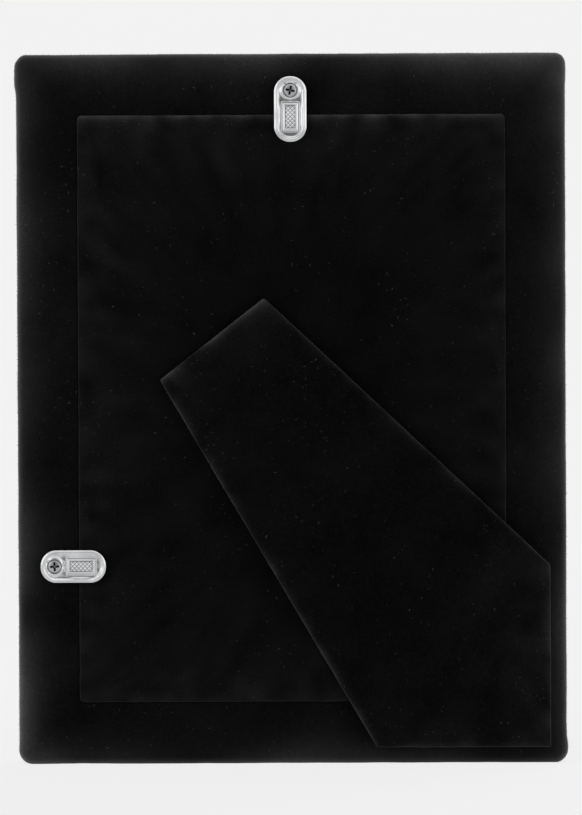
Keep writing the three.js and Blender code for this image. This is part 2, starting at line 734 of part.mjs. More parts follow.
place(frame, 'front_moulding', frontMoulding(), 'silver');
place(frame, 'glass_pane', stackSheet(0, glassTop, GLASS), 'glass');
place(frame, 'picture_insert', stackSheet(SLIP, insertTop, INSERT), 'paper');
place(frame, 'backing_card', stackSheet(SLIP, ledge, CARD), 'card');
const [railTop, railLeft, railBottom, railRight] = rails();
place(frame, 'rail_top', railTop, 'wood');
place(frame, 'rail_left', railLeft, 'wood');
place(frame, 'rail_bottom', railBottom, 'wood');
place(frame, 'rail_right', railRight, 'wood');
nailPlaces.forEach((corner, i) => {
  place(frame, `corner_nail_${i + 1}`, cornerNail(0), 'steel').applyMatrix4(corner);
});
place(frame, 'body_velvet', bodyVelvet(), 'velvet');

place(frame, 'panel_board', panelBoard(), 'board');
place(frame, 'panel_velvet', panelVelvet(), 'velvet');
place(frame, 'panel_lining', panelLining(), 'lining');
place(frame, 'tongue_bottom', tongue(), 'steel');
place(frame, 'tongue_bottom_rivet', tongueRivet(0), 'steel');
const rightTongue = subassembly(frame, rightSide);
place(rightTongue, 'tongue_right', tongue(), 'steel');
place(rightTongue, 'tongue_right_rivet', tongueRivet(0), 'steel');

const topPivot = subassembly(frame, topScrew);
place(topPivot, 'turn_button_top', turnButton(), 'nickel');
place(topPivot, 'screw_top', buttonScrew(TOP_CROSS_TURN), 'nickel');
const sidePivot = subassembly(frame, sideScrew);
place(sidePivot, 'turn_button_left', turnButton(), 'nickel');
place(sidePivot, 'screw_left', buttonScrew(SIDE_CROSS_TURN), 'nickel');

const hinge = subassembly(frame, hingeFrame);
place(hinge, 'strut_board', strutBoard(), 'board');
place(hinge, 'strut_velvet', strutVelvet(), 'velvet');
place(hinge, 'strut_lining', strutLining(), 'lining');
place(hinge, 'hinge_strut_leaf', outerLeaf(), 'steel');
place(hinge, 'hinge_panel_leaf', innerLeaf(), 'steel');
place(hinge, 'hinge_pin', barrel(PIN_RADIUS, HINGE_LENGTH), 'steel');
outerRivets.forEach((x, i) => {
  place(hinge, `hinge_strut_rivet_${i + 1}`, outerRivet(0), 'steel').position.set(x, rivetLine, 0);
});
innerRivets.forEach((x, i) => {
  place(hinge, `hinge_panel_rivet_${i + 1}`, innerRivet(0), 'steel').position.set(x, rivetLine, 0);
});

export default group;
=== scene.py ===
"""Looks of a tabletop picture frame with a velvet back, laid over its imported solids.

Shapes are drawn as on a bench, in millimetres: x to the right as seen from behind, y towards the
top edge, z up out of the back, with z = 0 on the velvet of the rails. Bench.to_world stands them
in the shared frame, in metres.
"""

from __future__ import annotations

import logging
import math
from dataclasses import dataclass, field
from enum import Enum
from typing import Any

import bpy
import numpy as np
from mathutils import Matrix, Vector, noise

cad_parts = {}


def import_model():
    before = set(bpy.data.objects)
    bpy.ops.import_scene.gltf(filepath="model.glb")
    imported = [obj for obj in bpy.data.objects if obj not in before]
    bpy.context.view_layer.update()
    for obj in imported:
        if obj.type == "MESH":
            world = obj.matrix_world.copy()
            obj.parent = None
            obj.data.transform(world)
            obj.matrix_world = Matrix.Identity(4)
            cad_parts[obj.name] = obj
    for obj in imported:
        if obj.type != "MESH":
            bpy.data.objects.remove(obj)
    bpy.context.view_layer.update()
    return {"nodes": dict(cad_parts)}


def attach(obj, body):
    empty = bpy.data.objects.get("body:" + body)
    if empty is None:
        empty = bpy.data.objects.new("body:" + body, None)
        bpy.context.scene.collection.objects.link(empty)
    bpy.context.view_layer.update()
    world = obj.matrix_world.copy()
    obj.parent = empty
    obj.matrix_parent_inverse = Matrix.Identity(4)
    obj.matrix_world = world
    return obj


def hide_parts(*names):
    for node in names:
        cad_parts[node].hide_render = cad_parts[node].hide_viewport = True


LOG = logging.getLogger("picture_frame")
MM = 0.001
CM2_IN_M2 = 1e4
WHITE = "#FFFFFF"
PANEL_PLACE = (0.15, 0.2)  # millimetres that the back panel and its opening sit off the middle
RAILS = ("rail_top", "rail_left", "rail_bottom", "rail_right")

Pair = tuple[float, float]
Triple = tuple[float, float, float]
Face = tuple[int, ...]
Nodes = dict[str, bpy.types.Object]
Tree = bpy.types.NodeTree
Socket = bpy.types.NodeSocket


class Part(Enum):
    """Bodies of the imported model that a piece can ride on."""

    FRAME = "frame"
    STRUT = "strut"
    TOP_BUTTON = "button_top"
    LEFT_BUTTON = "button_left"


class Slot(Enum):
    """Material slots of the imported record."""

    VELVET = "velvet"
    SILVER = "silver_plate"
    NICKEL = "nickel"


class Raised(Enum):
    """Named values that a skin carries at each point."""

    NAP = "nap"  # how much grey sheen is painted on folds and rolled edges, where the pile is also bent open
    PILE = "pile"  # how thickly loose fibres stand up, and how much sheen is painted where they are seen from the side
    SHOW = "show"  # how thickly dust settles
    GRIME = "grime"  # how much painted shade, with some polish dirt, darkens the recesses of a metal piece


class Habit(Enum):
    """How loose fibres sit on their cloth."""

    STANDING = "standing_fibres"
    LYING = "lying_fibres"


@dataclass(frozen=True)
class Bench:
    """Place of the bench drawing in the shared frame, in millimetres."""

    half_height: float = 110.0
    back_offset: float = 5.1

    def to_world(self, points: np.ndarray) -> np.ndarray:
        """Stand rows of bench points upright in the shared frame, in metres."""
        x, y, z = np.asarray(points, float).T
        return np.column_stack((x, -z - self.back_offset, y + self.half_height)) * MM


BENCH = Bench()


# Node helpers


def linear(code: str) -> tuple[float, float, float, float]:
    """Turn an sRGB hex colour into linear light.

    Args:
        code: Colour such as "#F2F2F2".

    Returns:
        Red, green, blue and alpha.
    """
    parts = [int(code[i : i + 2], 16) / 255 for i in (1, 3, 5)]
    light = [v / 12.92 if v <= 0.04045 else ((v + 0.055) / 1.055) ** 2.4 for v in parts]
    return (light[0], light[1], light[2], 1.0)


def add_node(tree: Tree, kind: str, out: str | int | None = 0, **given: Any) -> Any:
    """Add a node with its settings and links.

    Args:
        tree: Tree that gets the node.
        kind: Type name of the node; a shader node goes without ShaderNode before it.
        out: Output to return, by name or number; None for the node itself.
        given: The node's own settings in small letters, with a colour ramp's two stops as pairs of
            place and hex colour. Its inputs in capitals, by identifier, or by name with _ for a
            space: a socket to link or a value to set. From and To take pairs of least and most.

    Returns:
        The output's socket, or the node.
    """
    node = tree.nodes.new(kind if "Node" in kind else f"ShaderNode{kind}")
    for ends in given.keys() & {"From", "To"}:
        given[f"{ends}_Min"], given[f"{ends}_Max"] = given.pop(ends)
    for key, value in given.items():
        if key == "stops":
            for element, (place, code) in zip(node.color_ramp.elements, value):
                element.position, element.color = place, linear(code)
        elif key[0].islower():
            setattr(node, key, value)
        else:
            socket = next(s for s in node.inputs if key in (s.identifier, s.name.replace(" ", "_")))
            if isinstance(value, Socket):
                tree.links.new(value, socket)
            else:
                socket.default_value = value
    return node if out is None else node.outputs[out]


def seen_plain(tree: Tree, share: float | Socket) -> Socket:
    """How much of the studio's plain pale colour a ray sees.

    Args:
        tree: Tree that gets the nodes.
        share: Amount for rays that come from the camera, a gloss or through glass.

    Returns:
        The share for each ray.
    """
    path = add_node(tree, "LightPath", None).outputs
    some = path["Is Camera Ray"]
    for ray in ("Is Glossy Ray", "Is Transmission Ray"):
        some = add_node(tree, "Math", operation="MAXIMUM", Value=some, Value_001=path[ray])
    return add_node(tree, "Math", operation="MULTIPLY", Value=some, Value_001=share)


# Finishes


@dataclass(frozen=True)
class Finish:
    """A finish, named for its real material and how its surface was made."""

    name: str

    def material(self) -> bpy.types.Material:
        """Give the finish's material, made at its first use.

        Returns:
            The material.
        """
        made = bpy.data.materials.get(self.name)
        if made is None:
            made = bpy.data.materials.new(self.name)
            made.use_nodes = True
            made.node_tree.nodes.clear()
            shader = self.shade(made.node_tree)
            add_node(made.node_tree, "OutputMaterial", None, Surface=shader)
        return made

    def shade(self, tree: Tree) -> Socket:
        """Build the shader in a tree and return its output."""
        raise NotImplementedError


@dataclass(frozen=True)
class CutPileVelvet(Finish):
    """Cut-pile velvet, dyed black.

    The upright pile swallows light that meets it head on, so flats are nearly black with cloudy
    patches where it was brushed, while folds, rolled edges and surfaces seen from the side get a
    grey sheen painted into the colour.
    """

    deep: str = "#050505"
    brushed: str = "#0F0F0F"
    # grey of the sheen painted on folds, rolled edges and grazing views
    painted_sheen: str = "#868686"
    # size in millimetres, detail and roughness; real tufts are about 0.2 mm, drawn coarser to show
    tufts: Triple = (0.7, 2.0, 0.65)
    patches: Triple = (16.0, 4.0, 0.6)
    clouds: Pair = (0.65, 1.35)  # tufts and patches together, from deep to brushed
    stroke: Pair = (0.7, 1.3)  # how much brushing weakens or helps the painted sheen
    grazing: float = 1.5  # power with which the painted sheen of standing fibres shows from the side
    relief: Pair = (0.3, 0.7)  # range of the tufts that the roughness follows
    rough: Pair = (0.82, 1.0)
    sheen: float = 0.15
    sheen_roughness: float = 0.32
    bump: float = 0.5
    bump_mm: float = 0.12

    def shade(self, tree: Tree) -> Socket:
        """Build dark pile with brushed patches, grey sheen painted on folds, edges and grazing views, and a
        shader sheen.

        Args:
            tree: Tree that gets the nodes.

        Returns:
            The shader's output.
        """
        place = add_node(tree, "TexCoord", "Object")
        tufts, patches = (
            add_node(tree, "TexNoise", "Fac", Vector=place, Scale=1 / (size * MM), Detail=detail,
                     Roughness=roughness)
            for size, detail, roughness in (self.tufts, self.patches)
        )
        # painted sheen on folds and edges, and where standing fibres are seen from the side
        nap, pile = (
            add_node(tree, "Attribute", "Fac", attribute_name=value.value)
            for value in (Raised.NAP, Raised.PILE)
        )
        both = add_node(tree, "Math", operation="ADD", Value=tufts, Value_001=patches)
        uneven = add_node(tree, "MapRange", Value=both, From=self.clouds)
        cloud = add_node(tree, "ValToRGB", Fac=uneven, stops=((0.0, self.deep), (1.0, self.brushed)))
        stroked = add_node(tree, "MapRange", Value=uneven, To=self.stroke)
        # a sheen painted into the colour where standing fibres are seen from the side
        facing = add_node(tree, "LayerWeight", "Facing", Blend=0.5)
        sideways = add_node(tree, "Math", operation="POWER", Value=facing, Value_001=self.grazing)
        grazing_sheen = add_node(tree, "Math", operation="MULTIPLY", Value=sideways, Value_001=pile)
        sheen_share = add_node(tree, "Math", operation="MULTIPLY_ADD", use_clamp=True, Value=nap,
                             Value_001=stroked, Value_002=grazing_sheen)
        colour = add_node(tree, "Mix", 2, data_type="RGBA", Factor_Float=sheen_share, A_Color=cloud,
                          B_Color=linear(self.painted_sheen))
        rough = add_node(tree, "MapRange", Value=tufts, From=self.relief, To=self.rough)
        normal = add_node(tree, "Bump", Strength=self.bump, Distance=self.bump_mm * MM, Height=tufts)
        return add_node(tree, "BsdfPrincipled", Base_Color=colour, Roughness=rough, Normal=normal,
                        Specular_IOR_Level=0.0, Sheen_Weight=self.sheen,
                        Sheen_Roughness=self.sheen_roughness, Sheen_Tint=linear(WHITE))


@dataclass(frozen=True)
class LooseFibre(Finish):
    """Loose fibres: dull and grey, a few of them paler than the rest."""

    dark: str
    pale: str
    spread_mm: float
    sheen: float
    mostly: float = 0.7  # share of the fibres that stay dark
    rough: Pair = (0.7, 0.95)

    def shade(self, tree: Tree) -> Socket:
        """Build a dull fibre whose grey changes from place to place.

        Args:
            tree: Tree that gets the nodes.

        Returns:
            The shader's output.
        """
        place = add_node(tree, "TexCoord", "Object")
        cell = add_node(tree, "VectorMath", "Vector", operation="SNAP", Vector=place,
                        Vector_001=(self.spread_mm * MM,) * 3)
        tone = add_node(tree, "TexWhiteNoise", "Value", noise_dimensions="3D", Vector=cell)
        colour = add_node(tree, "ValToRGB", Fac=tone, stops=((self.mostly, self.dark), (1.0, self.pale)))
        rough = add_node(tree, "MapRange", Value=tone, To=self.rough)
        return add_node(tree, "BsdfPrincipled", Base_Color=colour, Roughness=rough,
                        Sheen_Weight=self.sheen)


@dataclass(frozen=True)
class PlatedMetal(Finish):
    """Plated metal: mirror-like, with fine rub marks, a thin cloudy film and painted shade in its recesses.
    """

    bright: str
    filmed: str
    smooth: float = 0.12
    dull: float = 0.26
    rub_mm: float = 0.25
    rub_length_mm: float = 8.0
    film_mm: float = 5.0
    bump_mm: float = 0.004
    # colour of the painted shade, with some polish dirt, in the recesses
    grime: str = "#161514"
    film: Pair = (0.35, 0.7)  # range of the film's noise from bright to filmed
    wear: Pair = (0.12, 0.4)  # range of rubs and film together, from smooth to dull
    bump: float = 0.4

    def shade(self, tree: Tree) -> Socket:
        """Build plated metal with rub marks along the piece's own length, and painted shade in its recesses.

        Args:
            tree: Tree that gets the nodes.

        Returns:
            The shader's output.
        """
        along = add_node(tree, "UVMap", uv_map="length")
        stretched = add_node(tree, "Mapping", Vector=along,
                             Scale=(1 / self.rub_mm, 1 / self.rub_length_mm, 1.0))
        rubs = add_node(tree, "TexNoise", "Fac", Vector=stretched, Scale=1.0, Detail=3.0, Roughness=0.7)
        place = add_node(tree, "TexCoord", "Object")
        film = add_node(tree, "TexNoise", "Fac", Vector=place, Scale=1 / (self.film_mm * MM), Detail=4.0)
        plate = add_node(tree, "ValToRGB", Fac=film,
                         stops=((self.film[0], self.bright), (self.film[1], self.filmed)))
        # painted shade in the recesses, with some polish dirt, from each point's value
        darkening = add_node(tree, "Attribute", "Fac", attribute_name=Raised.GRIME.value)
        colour = add_node(tree, "Mix", 2, data_type="RGBA", Factor_Float=darkening, A_Color=plate,
                          B_Color=linear(self.grime))
        wear = add_node(tree, "Math", operation="MULTIPLY", Value=rubs, Value_001=film)
        rough = add_node(tree, "MapRange", Value=wear, From=self.wear, To=(self.smooth, self.dull))
        normal = add_node(tree, "Bump", Strength=self.bump, Distance=self.bump_mm * MM, Height=rubs)
        return add_node(tree, "BsdfPrincipled", Base_Color=colour, Metallic=1.0, Roughness=rough,
                        Normal=normal)


@dataclass(frozen=True)
class GrainedStock(Finish):
    """Stock with a grain: sawn wood, pressed board, card, paper or rolled steel.

    The grain shows as streaks of two tones, and its relief breaks up the gloss.
    """

    light: str
    dark: str
    grain_mm: Triple
    smooth: float = 0.55
    dull: float = 0.8
    bump_mm: float = 0.05
    metallic: float = 0.0
    streaks: Pair = (0.32, 0.68)  # range of the grain from dark to light
    bump: float = 0.5

    def shade(self, tree: Tree) -> Socket:
        """Build two tones of grain with relief.

        Args:
            tree: Tree that gets the nodes.

        Returns:
            The shader's output.
        """
        place = add_node(tree, "TexCoord", "Object")
        stretched = add_node(tree, "Mapping", Vector=place,
                             Scale=tuple(1 / (size * MM) for size in self.grain_mm))
        grain = add_node(tree, "TexNoise", "Fac", Vector=stretched, Scale=1.0, Detail=4.0, Roughness=0.65,
                         Distortion=0.4)
        colour = add_node(tree, "ValToRGB", Fac=grain,
                          stops=((self.streaks[0], self.dark), (self.streaks[1], self.light)))
        rough = add_node(tree, "MapRange", Value=grain, To=(self.dull, self.smooth))
        normal = add_node(tree, "Bump", Strength=self.bump, Distance=self.bump_mm * MM, Height=grain)
        return add_node(tree, "BsdfPrincipled", Base_Color=colour, Metallic=self.metallic,
                        Roughness=rough, Normal=normal)


@dataclass(frozen=True)
class FloatGlass(Finish):
    """Float glass, wiped clean: clear, with a faint smear in the gloss."""

    tint: str = "#FDFEFE"
    ior: float = 1.52
    smear_mm: float = 30.0
    smear: Pair = (0.45, 0.8)  # range of its noise from clear to dull
    dull: float = 0.04

    def shade(self, tree: Tree) -> Socket:
        """Build clear glass with a wiped smear.

        Args:
            tree: Tree that gets the nodes.

        Returns:
            The shader's output.
        """
        place = add_node(tree, "TexCoord", "Object")
        smear = add_node(tree, "TexNoise", "Fac", Vector=place, Scale=1 / (self.smear_mm * MM),
                         Detail=5.0)
        rough = add_node(tree, "MapRange", Value=smear, From=self.smear, To=(0.0, self.dull))
        return add_node(tree, "BsdfPrincipled", Base_Color=linear(self.tint), Roughness=rough,
                        IOR=self.ior, Transmission_Weight=1.0)


@dataclass(frozen=True)
class PaleFloor(Finish):
    """Pale paper floor: it keeps the shadow near the frame and fades into the view."""

    pale: str = "#F2F2F2"
    fade: Pair = (0.15, 0.9)  # metres from the frame
    near: float = 0.9  # share of plain colour under the frame

    def shade(self, tree: Tree) -> Socket:
        """Build matt paper under its plain colour.

        Args:
            tree: Tree that gets the nodes.

        Returns:
            The shader's output.
        """
        matt = add_node(tree, "BsdfDiffuse", Color=linear(self.pale))
        plain = add_node(tree, "Emission", Color=linear(self.pale), Strength=1.0)
        place = add_node(tree, "TexCoord", "Object")
        away = add_node(tree, "VectorMath", "Value", operation="LENGTH", Vector=place)
        share = add_node(tree, "MapRange", interpolation_type="SMOOTHSTEP", Value=away, From=self.fade,
                         To=(self.near, 1.0))
        return add_node(tree, "MixShader", Fac=seen_plain(tree, share), Shader=matt, Shader_001=plain)


# Finishes in use, each under what it gives the eye.
# Velvet: black, with a grey sheen painted on folds and edges.
VELVET = CutPileVelvet("cut_pile_cotton_velvet")
# Lint: faint specks, a few of them pale.
LINT = LooseFibre("loose_cotton_fibre", "#262627", "#6A6A69", spread_mm=9.0, sheen=0.1)
# Pile ends: a soft dark fringe.
PILE_ENDS = LooseFibre("velvet_pile_ends", "#1A1A1B", "#3A3A3B", spread_mm=0.8, sheen=0.08)
# Stamped nickel: bright, with rounded gleams.
NICKEL = PlatedMetal("stamped_bright_nickel", "#D4D5D6", "#C0C1C2")
# Turned nickel: greyer and duller.
SCREW_NICKEL = PlatedMetal("turned_bright_nickel", "#BDBEBF", "#A2A3A5", smooth=0.18, dull=0.34)
# Silver plate: a warm mirror with long faint rubs.
SILVER = PlatedMetal(
    "polished_silver_plate", "#DBDAD6", "#CFCDC6", smooth=0.05, dull=0.14, rub_mm=0.8,
    rub_length_mm=60.0, film_mm=24.0, bump_mm=0.002,
)
# Glass: clear, with a faint smear.
GLASS = FloatGlass("float_glass_clear")
# Pine: nearly black, with dull streaks along the saw cut.
PINE = GrainedStock("black_stained_pine", "#1C1815", "#0E0C0B", (1.2, 1.2, 30.0))
# Hardboard: brown, speckled by its fibres.
HARDBOARD = GrainedStock("pressed_hardboard", "#7A5E42", "#574029", (0.8, 0.8, 0.8))
# Greyboard: matt grey, faintly mottled.
GREYBOARD = GrainedStock("rolled_greyboard", "#98958E", "#7D7A73", (0.9, 0.9, 0.5), smooth=0.8, dull=0.95)
# Insert paper: soft white without gloss.
INSERT_PAPER = GrainedStock(
    "uncoated_insert_paper", "#FAF9F5", "#F3F1EB", (0.7, 0.7, 0.7), smooth=0.75, dull=0.9, bump_mm=0.01
)
# Lining paper: black, its pits breaking up the gloss.
LINING_PAPER = GrainedStock(
    "embossed_lining_paper", "#1E1E21", "#131315", (0.5, 0.5, 0.5), smooth=0.6, dull=0.85
)
# Lacquered steel: black with a soft gloss.
BLACK_STEEL = GrainedStock(
    "black_lacquered_steel", "#17171A", "#0D0D0F", (0.5, 0.5, 0.5), smooth=0.35, dull=0.55, bump_mm=0.01
)
# Rolled steel: half bright, streaked along the rolling.
STEEL = GrainedStock(
    "cold_rolled_steel", "#A9ACAF", "#8A8D90", (0.4, 0.4, 6.0), smooth=0.25, dull=0.5, bump_mm=0.006,
    metallic=1.0,
)
# Paper floor: plain, with the frame's soft shadow.
FLOOR = PaleFloor("pale_paper_floor")


# Mesh helpers


def stand(name: str, data: bpy.types.ID) -> bpy.types.Object:
    """Put a mesh, lamp or camera into the scene.

    Args:
        name: Name of the object.
        data: What it shows.

    Returns:
        The new object.
    """
    made = bpy.data.objects.new(name, data)
    bpy.context.scene.collection.objects.link(made)
    return made


def fit(piece: bpy.types.Object, part: Part, slot: Slot, *solids: str) -> None:
    """Say what a piece rides on and what it stands for.

    Args:
        piece: The finished piece.
        part: Body that it rides on.
        slot: Material slot of the record; not used.
        solids: CAD nodes that it replaces.
    """
    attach(piece, part.value)
    if solids:
        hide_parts(*solids)
    LOG.info("%s: %d faces on %s", piece.name, len(piece.data.polygons), part.value)


def dress(nodes: Nodes, finish: Finish, *names: str) -> None:
    """Give CAD nodes that stay in view a finish.

    Args:
        nodes: CAD nodes by name.
        finish: Finish that they get.
        names: Names of the nodes.
    """
    for name in names:
        if not nodes[name].material_slots:
            nodes[name].data.materials.append(None)
        for place in nodes[name].material_slots:
            place.material = finish.material()
        LOG.info("%s: %s", name, finish.name)


def smooth_step(values: np.ndarray, low: float, high: float) -> np.ndarray:
    """Rise smoothly from 0 at low to 1 at high, which may lie either way round."""
    t = np.clip((values - low) / (high - low), 0, 1)
    return t * t * (3 - 2 * t)


def level(ring: np.ndarray, z: float) -> np.ndarray:
    """Give the points of a flat ring their height."""
    return np.column_stack((ring, np.full(len(ring), z)))


def loft(rings: list[np.ndarray], loop: bool) -> tuple[np.ndarray, list[Face]]:
    """Skin a row of closed rings.

    Args:
        rings: Rows of x, y, z, equally many in each ring.
        loop: Join the last ring to the first; otherwise both ends are closed flat.

    Returns:
        All points, and the faces.
    """
    count = len(rings[0])
    faces: list[Face] = []
    for row in range(len(rings) if loop else len(rings) - 1):
        here, there = row * count, (row + 1) % len(rings) * count
        for i in range(count):
            j = (i + 1) % count
            faces.append((here + i, here + j, there + j, there + i))
    if not loop:
        last = (len(rings) - 1) * count
        faces += [tuple(reversed(range(count))), tuple(range(last, last + count))]
    return np.vstack(rings), faces


def quads(number: np.ndarray, turned: bool = False) -> list[Face]:
    """Skin a grid of point numbers.

    Args:
        number: Point numbers by row and column.
        turned: Make the faces look the other way.

    Returns:
        The faces.
    """
    corners = [number[:-1, :-1], number[:-1, 1:], number[1:, 1:], number[1:, :-1]]
    if turned:
        corners = [corners[i] for i in (0, 3, 2, 1)]
    return list(zip(*(corner.ravel().tolist() for corner in corners)))


@dataclass(frozen=True)
class Uneven:
    """A smooth uneven value: a mean, and a swing about it in waves of so many millimetres."""

    mean: float
    swing: float
    wave: float
    place: Triple

    def over(self, points: np.ndarray) -> np.ndarray:
        """Return the value at each point."""
        at = [Vector(point) / self.wave + Vector(self.place) for point in points]
        return np.array([self.mean + self.swing * noise.noise(spot) for spot in at])


@dataclass(frozen=True)
class EdgeBand:
    """A value that falls off from an edge: a narrow strong line in a wide faint band."""

    strong: float
    narrow: float  # reach of the line, in millimetres
    faint: float
    wide: float  # reach of the band, in millimetres

    def at(self, away: np.ndarray) -> np.ndarray:
        """Return the value at distances from the edge."""
        return self.strong * np.exp(-away / self.narrow) + self.faint * np.exp(-away / self.wide)


@dataclass
class Skin:
    """A mesh in the making."""

    points: np.ndarray  # rows of x, y, z on the bench, in millimetres
    faces: list[Face]  # point numbers, counter-clockwise from outside
    values: dict[Raised, np.ndarray] = field(default_factory=dict)  # one for each point
    lengths: np.ndarray | None = None  # across and along the piece, in millimetres

    @classmethod
    def rubbed(cls, points: np.ndarray, faces: list[Face], grime: np.ndarray) -> Skin:
        """Return the skin of a metal piece that was rubbed along the bench's y."""
        return cls(points, faces, {Raised.GRIME: grime}, points[:, :2].copy())

    def joined(self, other: Skin) -> Skin:
        """Put two skins in one mesh.

        Args:
            other: Skin with the same named values.

        Returns:
            A skin that holds both.
        """
        start = len(self.points)
        return Skin(
            np.vstack((self.points, other.points)),
            self.faces + [tuple(i + start for i in face) for face in other.faces],
            {key: np.concatenate((row, other.values[key])) for key, row in self.values.items()},
            None if self.lengths is None else np.vstack((self.lengths, other.lengths)),
        )

    def placed(self, x: float, y: float, turn: float) -> Skin:
        """Turn the skin on the bench and move it.

        Args:
            x: Distance to the right, in millimetres.
            y: Distance up, in millimetres.
            turn: Angle, counter-clockwise, in degrees.

        Returns:
            The skin in its new place.
        """
        c, s = math.cos(math.radians(turn)), math.sin(math.radians(turn))
        turned = self.points @ np.array([[c, s, 0], [-s, c, 0], [0, 0, 1]])
        return Skin(turned + np.array([x, y, 0]), self.faces, self.values, self.lengths)

    def rippled(self, amount: float, wave: float, seed: float, share: np.ndarray | float = 1.0) -> Skin:
        """Move each point along its normal by smooth noise.

        Args:
            amount: Largest move, in millimetres.
            wave: Size of the waves, in millimetres.
            seed: Place in the noise.
            share: How much of the move all points or each one make.

        Returns:
            The uneven skin.
        """
        mesh = self.mesh("ripple")
        normals = np.empty(len(self.points) * 3)
        mesh.vertex_normals.foreach_get("vector", normals)
        bpy.data.meshes.remove(mesh)
        x, y, z = normals.reshape(-1, 3).T
        moves = Uneven(0.0, amount, wave, (seed, seed * 0.7, seed * 1.3)).over(self.points)
        points = self.points + np.column_stack((x, z, -y)) * (moves * share)[:, None]
        return Skin(points, self.faces, self.values, self.lengths)

    def mesh(self, name: str) -> bpy.types.Mesh:
        """Make a smooth mesh, standing in the shared frame.

        Args:
            name: Name of the mesh.

        Returns:
            The mesh with its named values and lengths.
        """
        mesh = bpy.data.meshes.new(name)
        mesh.from_pydata(BENCH.to_world(self.points).tolist(), [], self.faces)
        for key, row in self.values.items():
            attribute = mesh.attributes.new(key.value, "FLOAT", "POINT")
            attribute.data.foreach_set("value", np.asarray(row, np.float32))
        if self.lengths is not None:
            layer = mesh.uv_layers.new(name="length")
            corner = np.empty(len(mesh.loops), np.int32)
            mesh.loops.foreach_get("vertex_index", corner)
            layer.data.foreach_set("uv", self.lengths[corner].astype(np.float32).ravel())
        mesh.polygons.foreach_set("use_smooth", np.ones(len(mesh.polygons), bool))
        mesh.update()
        return mesh

    def piece(self, name: str, finish: Finish) -> bpy.types.Object:
        """Make the finished object.

        Args:
            name: Name of the piece.
            finish: Finish of its surface.

        Returns:
            The object, in the scene.
        """
        made = stand(name, self.mesh(name))
        made.data.materials.append(finish.material())
        return made


@dataclass(frozen=True)
class Outline:
    """A convex outline with rounded corners, counter-clockwise on the bench. Millimetres."""

    corners: tuple[Pair, ...]  # as if they were sharp
    radii: tuple[float, ...]  # one for each corner
    spacing: float = 1.2  # of the points on the straight edges
    arc_steps: int = 6

    @staticmethod
    def rectangle(width: float, height: float) -> tuple[Pair, ...]:
        """Return the corners of a rectangle around the bench's middle."""
        return tuple((x * width / 2, y * height / 2) for x, y in ((-1, -1), (1, -1), (1, 1), (-1, 1)))

    def ring(self, inset: float, tightest: float = 0.05) -> np.ndarray:
        """Points of the outline, moved inwards.

        Args:
            inset: Distance inwards.
            tightest: Smallest radius that a corner may get.

        Returns:
            Rows of x and y, equally many for every inset.
        """
        corners = np.array(self.corners)
        arcs, counts = [], []
        for i, corner in enumerate(corners):
            before = corner - corners[i - 1]
            after = corners[(i + 1) % len(corners)] - corner
            counts.append(max(2, round(np.linalg.norm(after) / self.spacing)))
            before, after = before / np.linalg.norm(before), after / np.linalg.norm(after)
            radius = max(self.radii[i] - inset, tightest)
            move = (inset + radius) / (before[0] * after[1] - before[1] * after[0])
            centre = corner + (after - before) * move
            start = math.atan2(before[1], before[0]) - math.pi / 2
            turn = (math.atan2(after[1], after[0]) - math.pi / 2 - start) % (2 * math.pi)
            angles = start + turn * np.linspace(0, 1, self.arc_steps + 1)
            arcs.append(centre + radius * np.column_stack((np.cos(angles), np.sin(angles))))
        rows = []
        for i, arc in enumerate(arcs):
            share = np.linspace(0, 1, counts[i] + 1)[1:-1, None]
            rows += [arc, arc[-1] + share * (arcs[(i + 1) % len(arcs)][0] - arc[-1])]
        return np.vstack(rows)

    def distances(self, points: np.ndarray) -> np.ndarray:
        """Distances of points from the sharp edges, inwards.

        Args:
            points: Rows of x, y, z on the bench.

        Returns:
            One row for each edge, from the edge after the first corner on.
        """
        corners = np.array(self.corners)
        along = np.roll(corners, -1, axis=0) - corners
        inward = np.column_stack((-along[:, 1], along[:, 0]))
        inward /= np.linalg.norm(along, axis=1)[:, None]
        return np.maximum(inward @ points[:, :2].T - (inward * corners).sum(axis=1)[:, None], 0)


# Sub-assemblies


@dataclass(frozen=True)
class CornerFold:
    """Cloth folded double around a corner of the body, in millimetres."""

    side: int  # 1 at the right, -1 at the left
    end: int  # 1 at the top, -1 at the bottom
    rise: float  # how far it stands out
    length: float  # how far it runs along the side
    rounding: Pair = (1.0, 4.5)  # where it starts, past the corner
    fade: Pair = (-2.5, 2.0)  # where it ends, about its length
    reach: Pair = (0.5, 5.0)  # how far it goes in from the edge


@dataclass(frozen=True)
class Brushed:
    """A stretch of the rails brushed open, or shut where the amount is below 0; the painted sheen rises or
    falls with it.
    """

    amount: float
    across: Pair  # where it starts and is full, from -1 at the left edge to 1 at the right
    along: Pair  # the same, from -1 at the bottom edge to 1 at the top


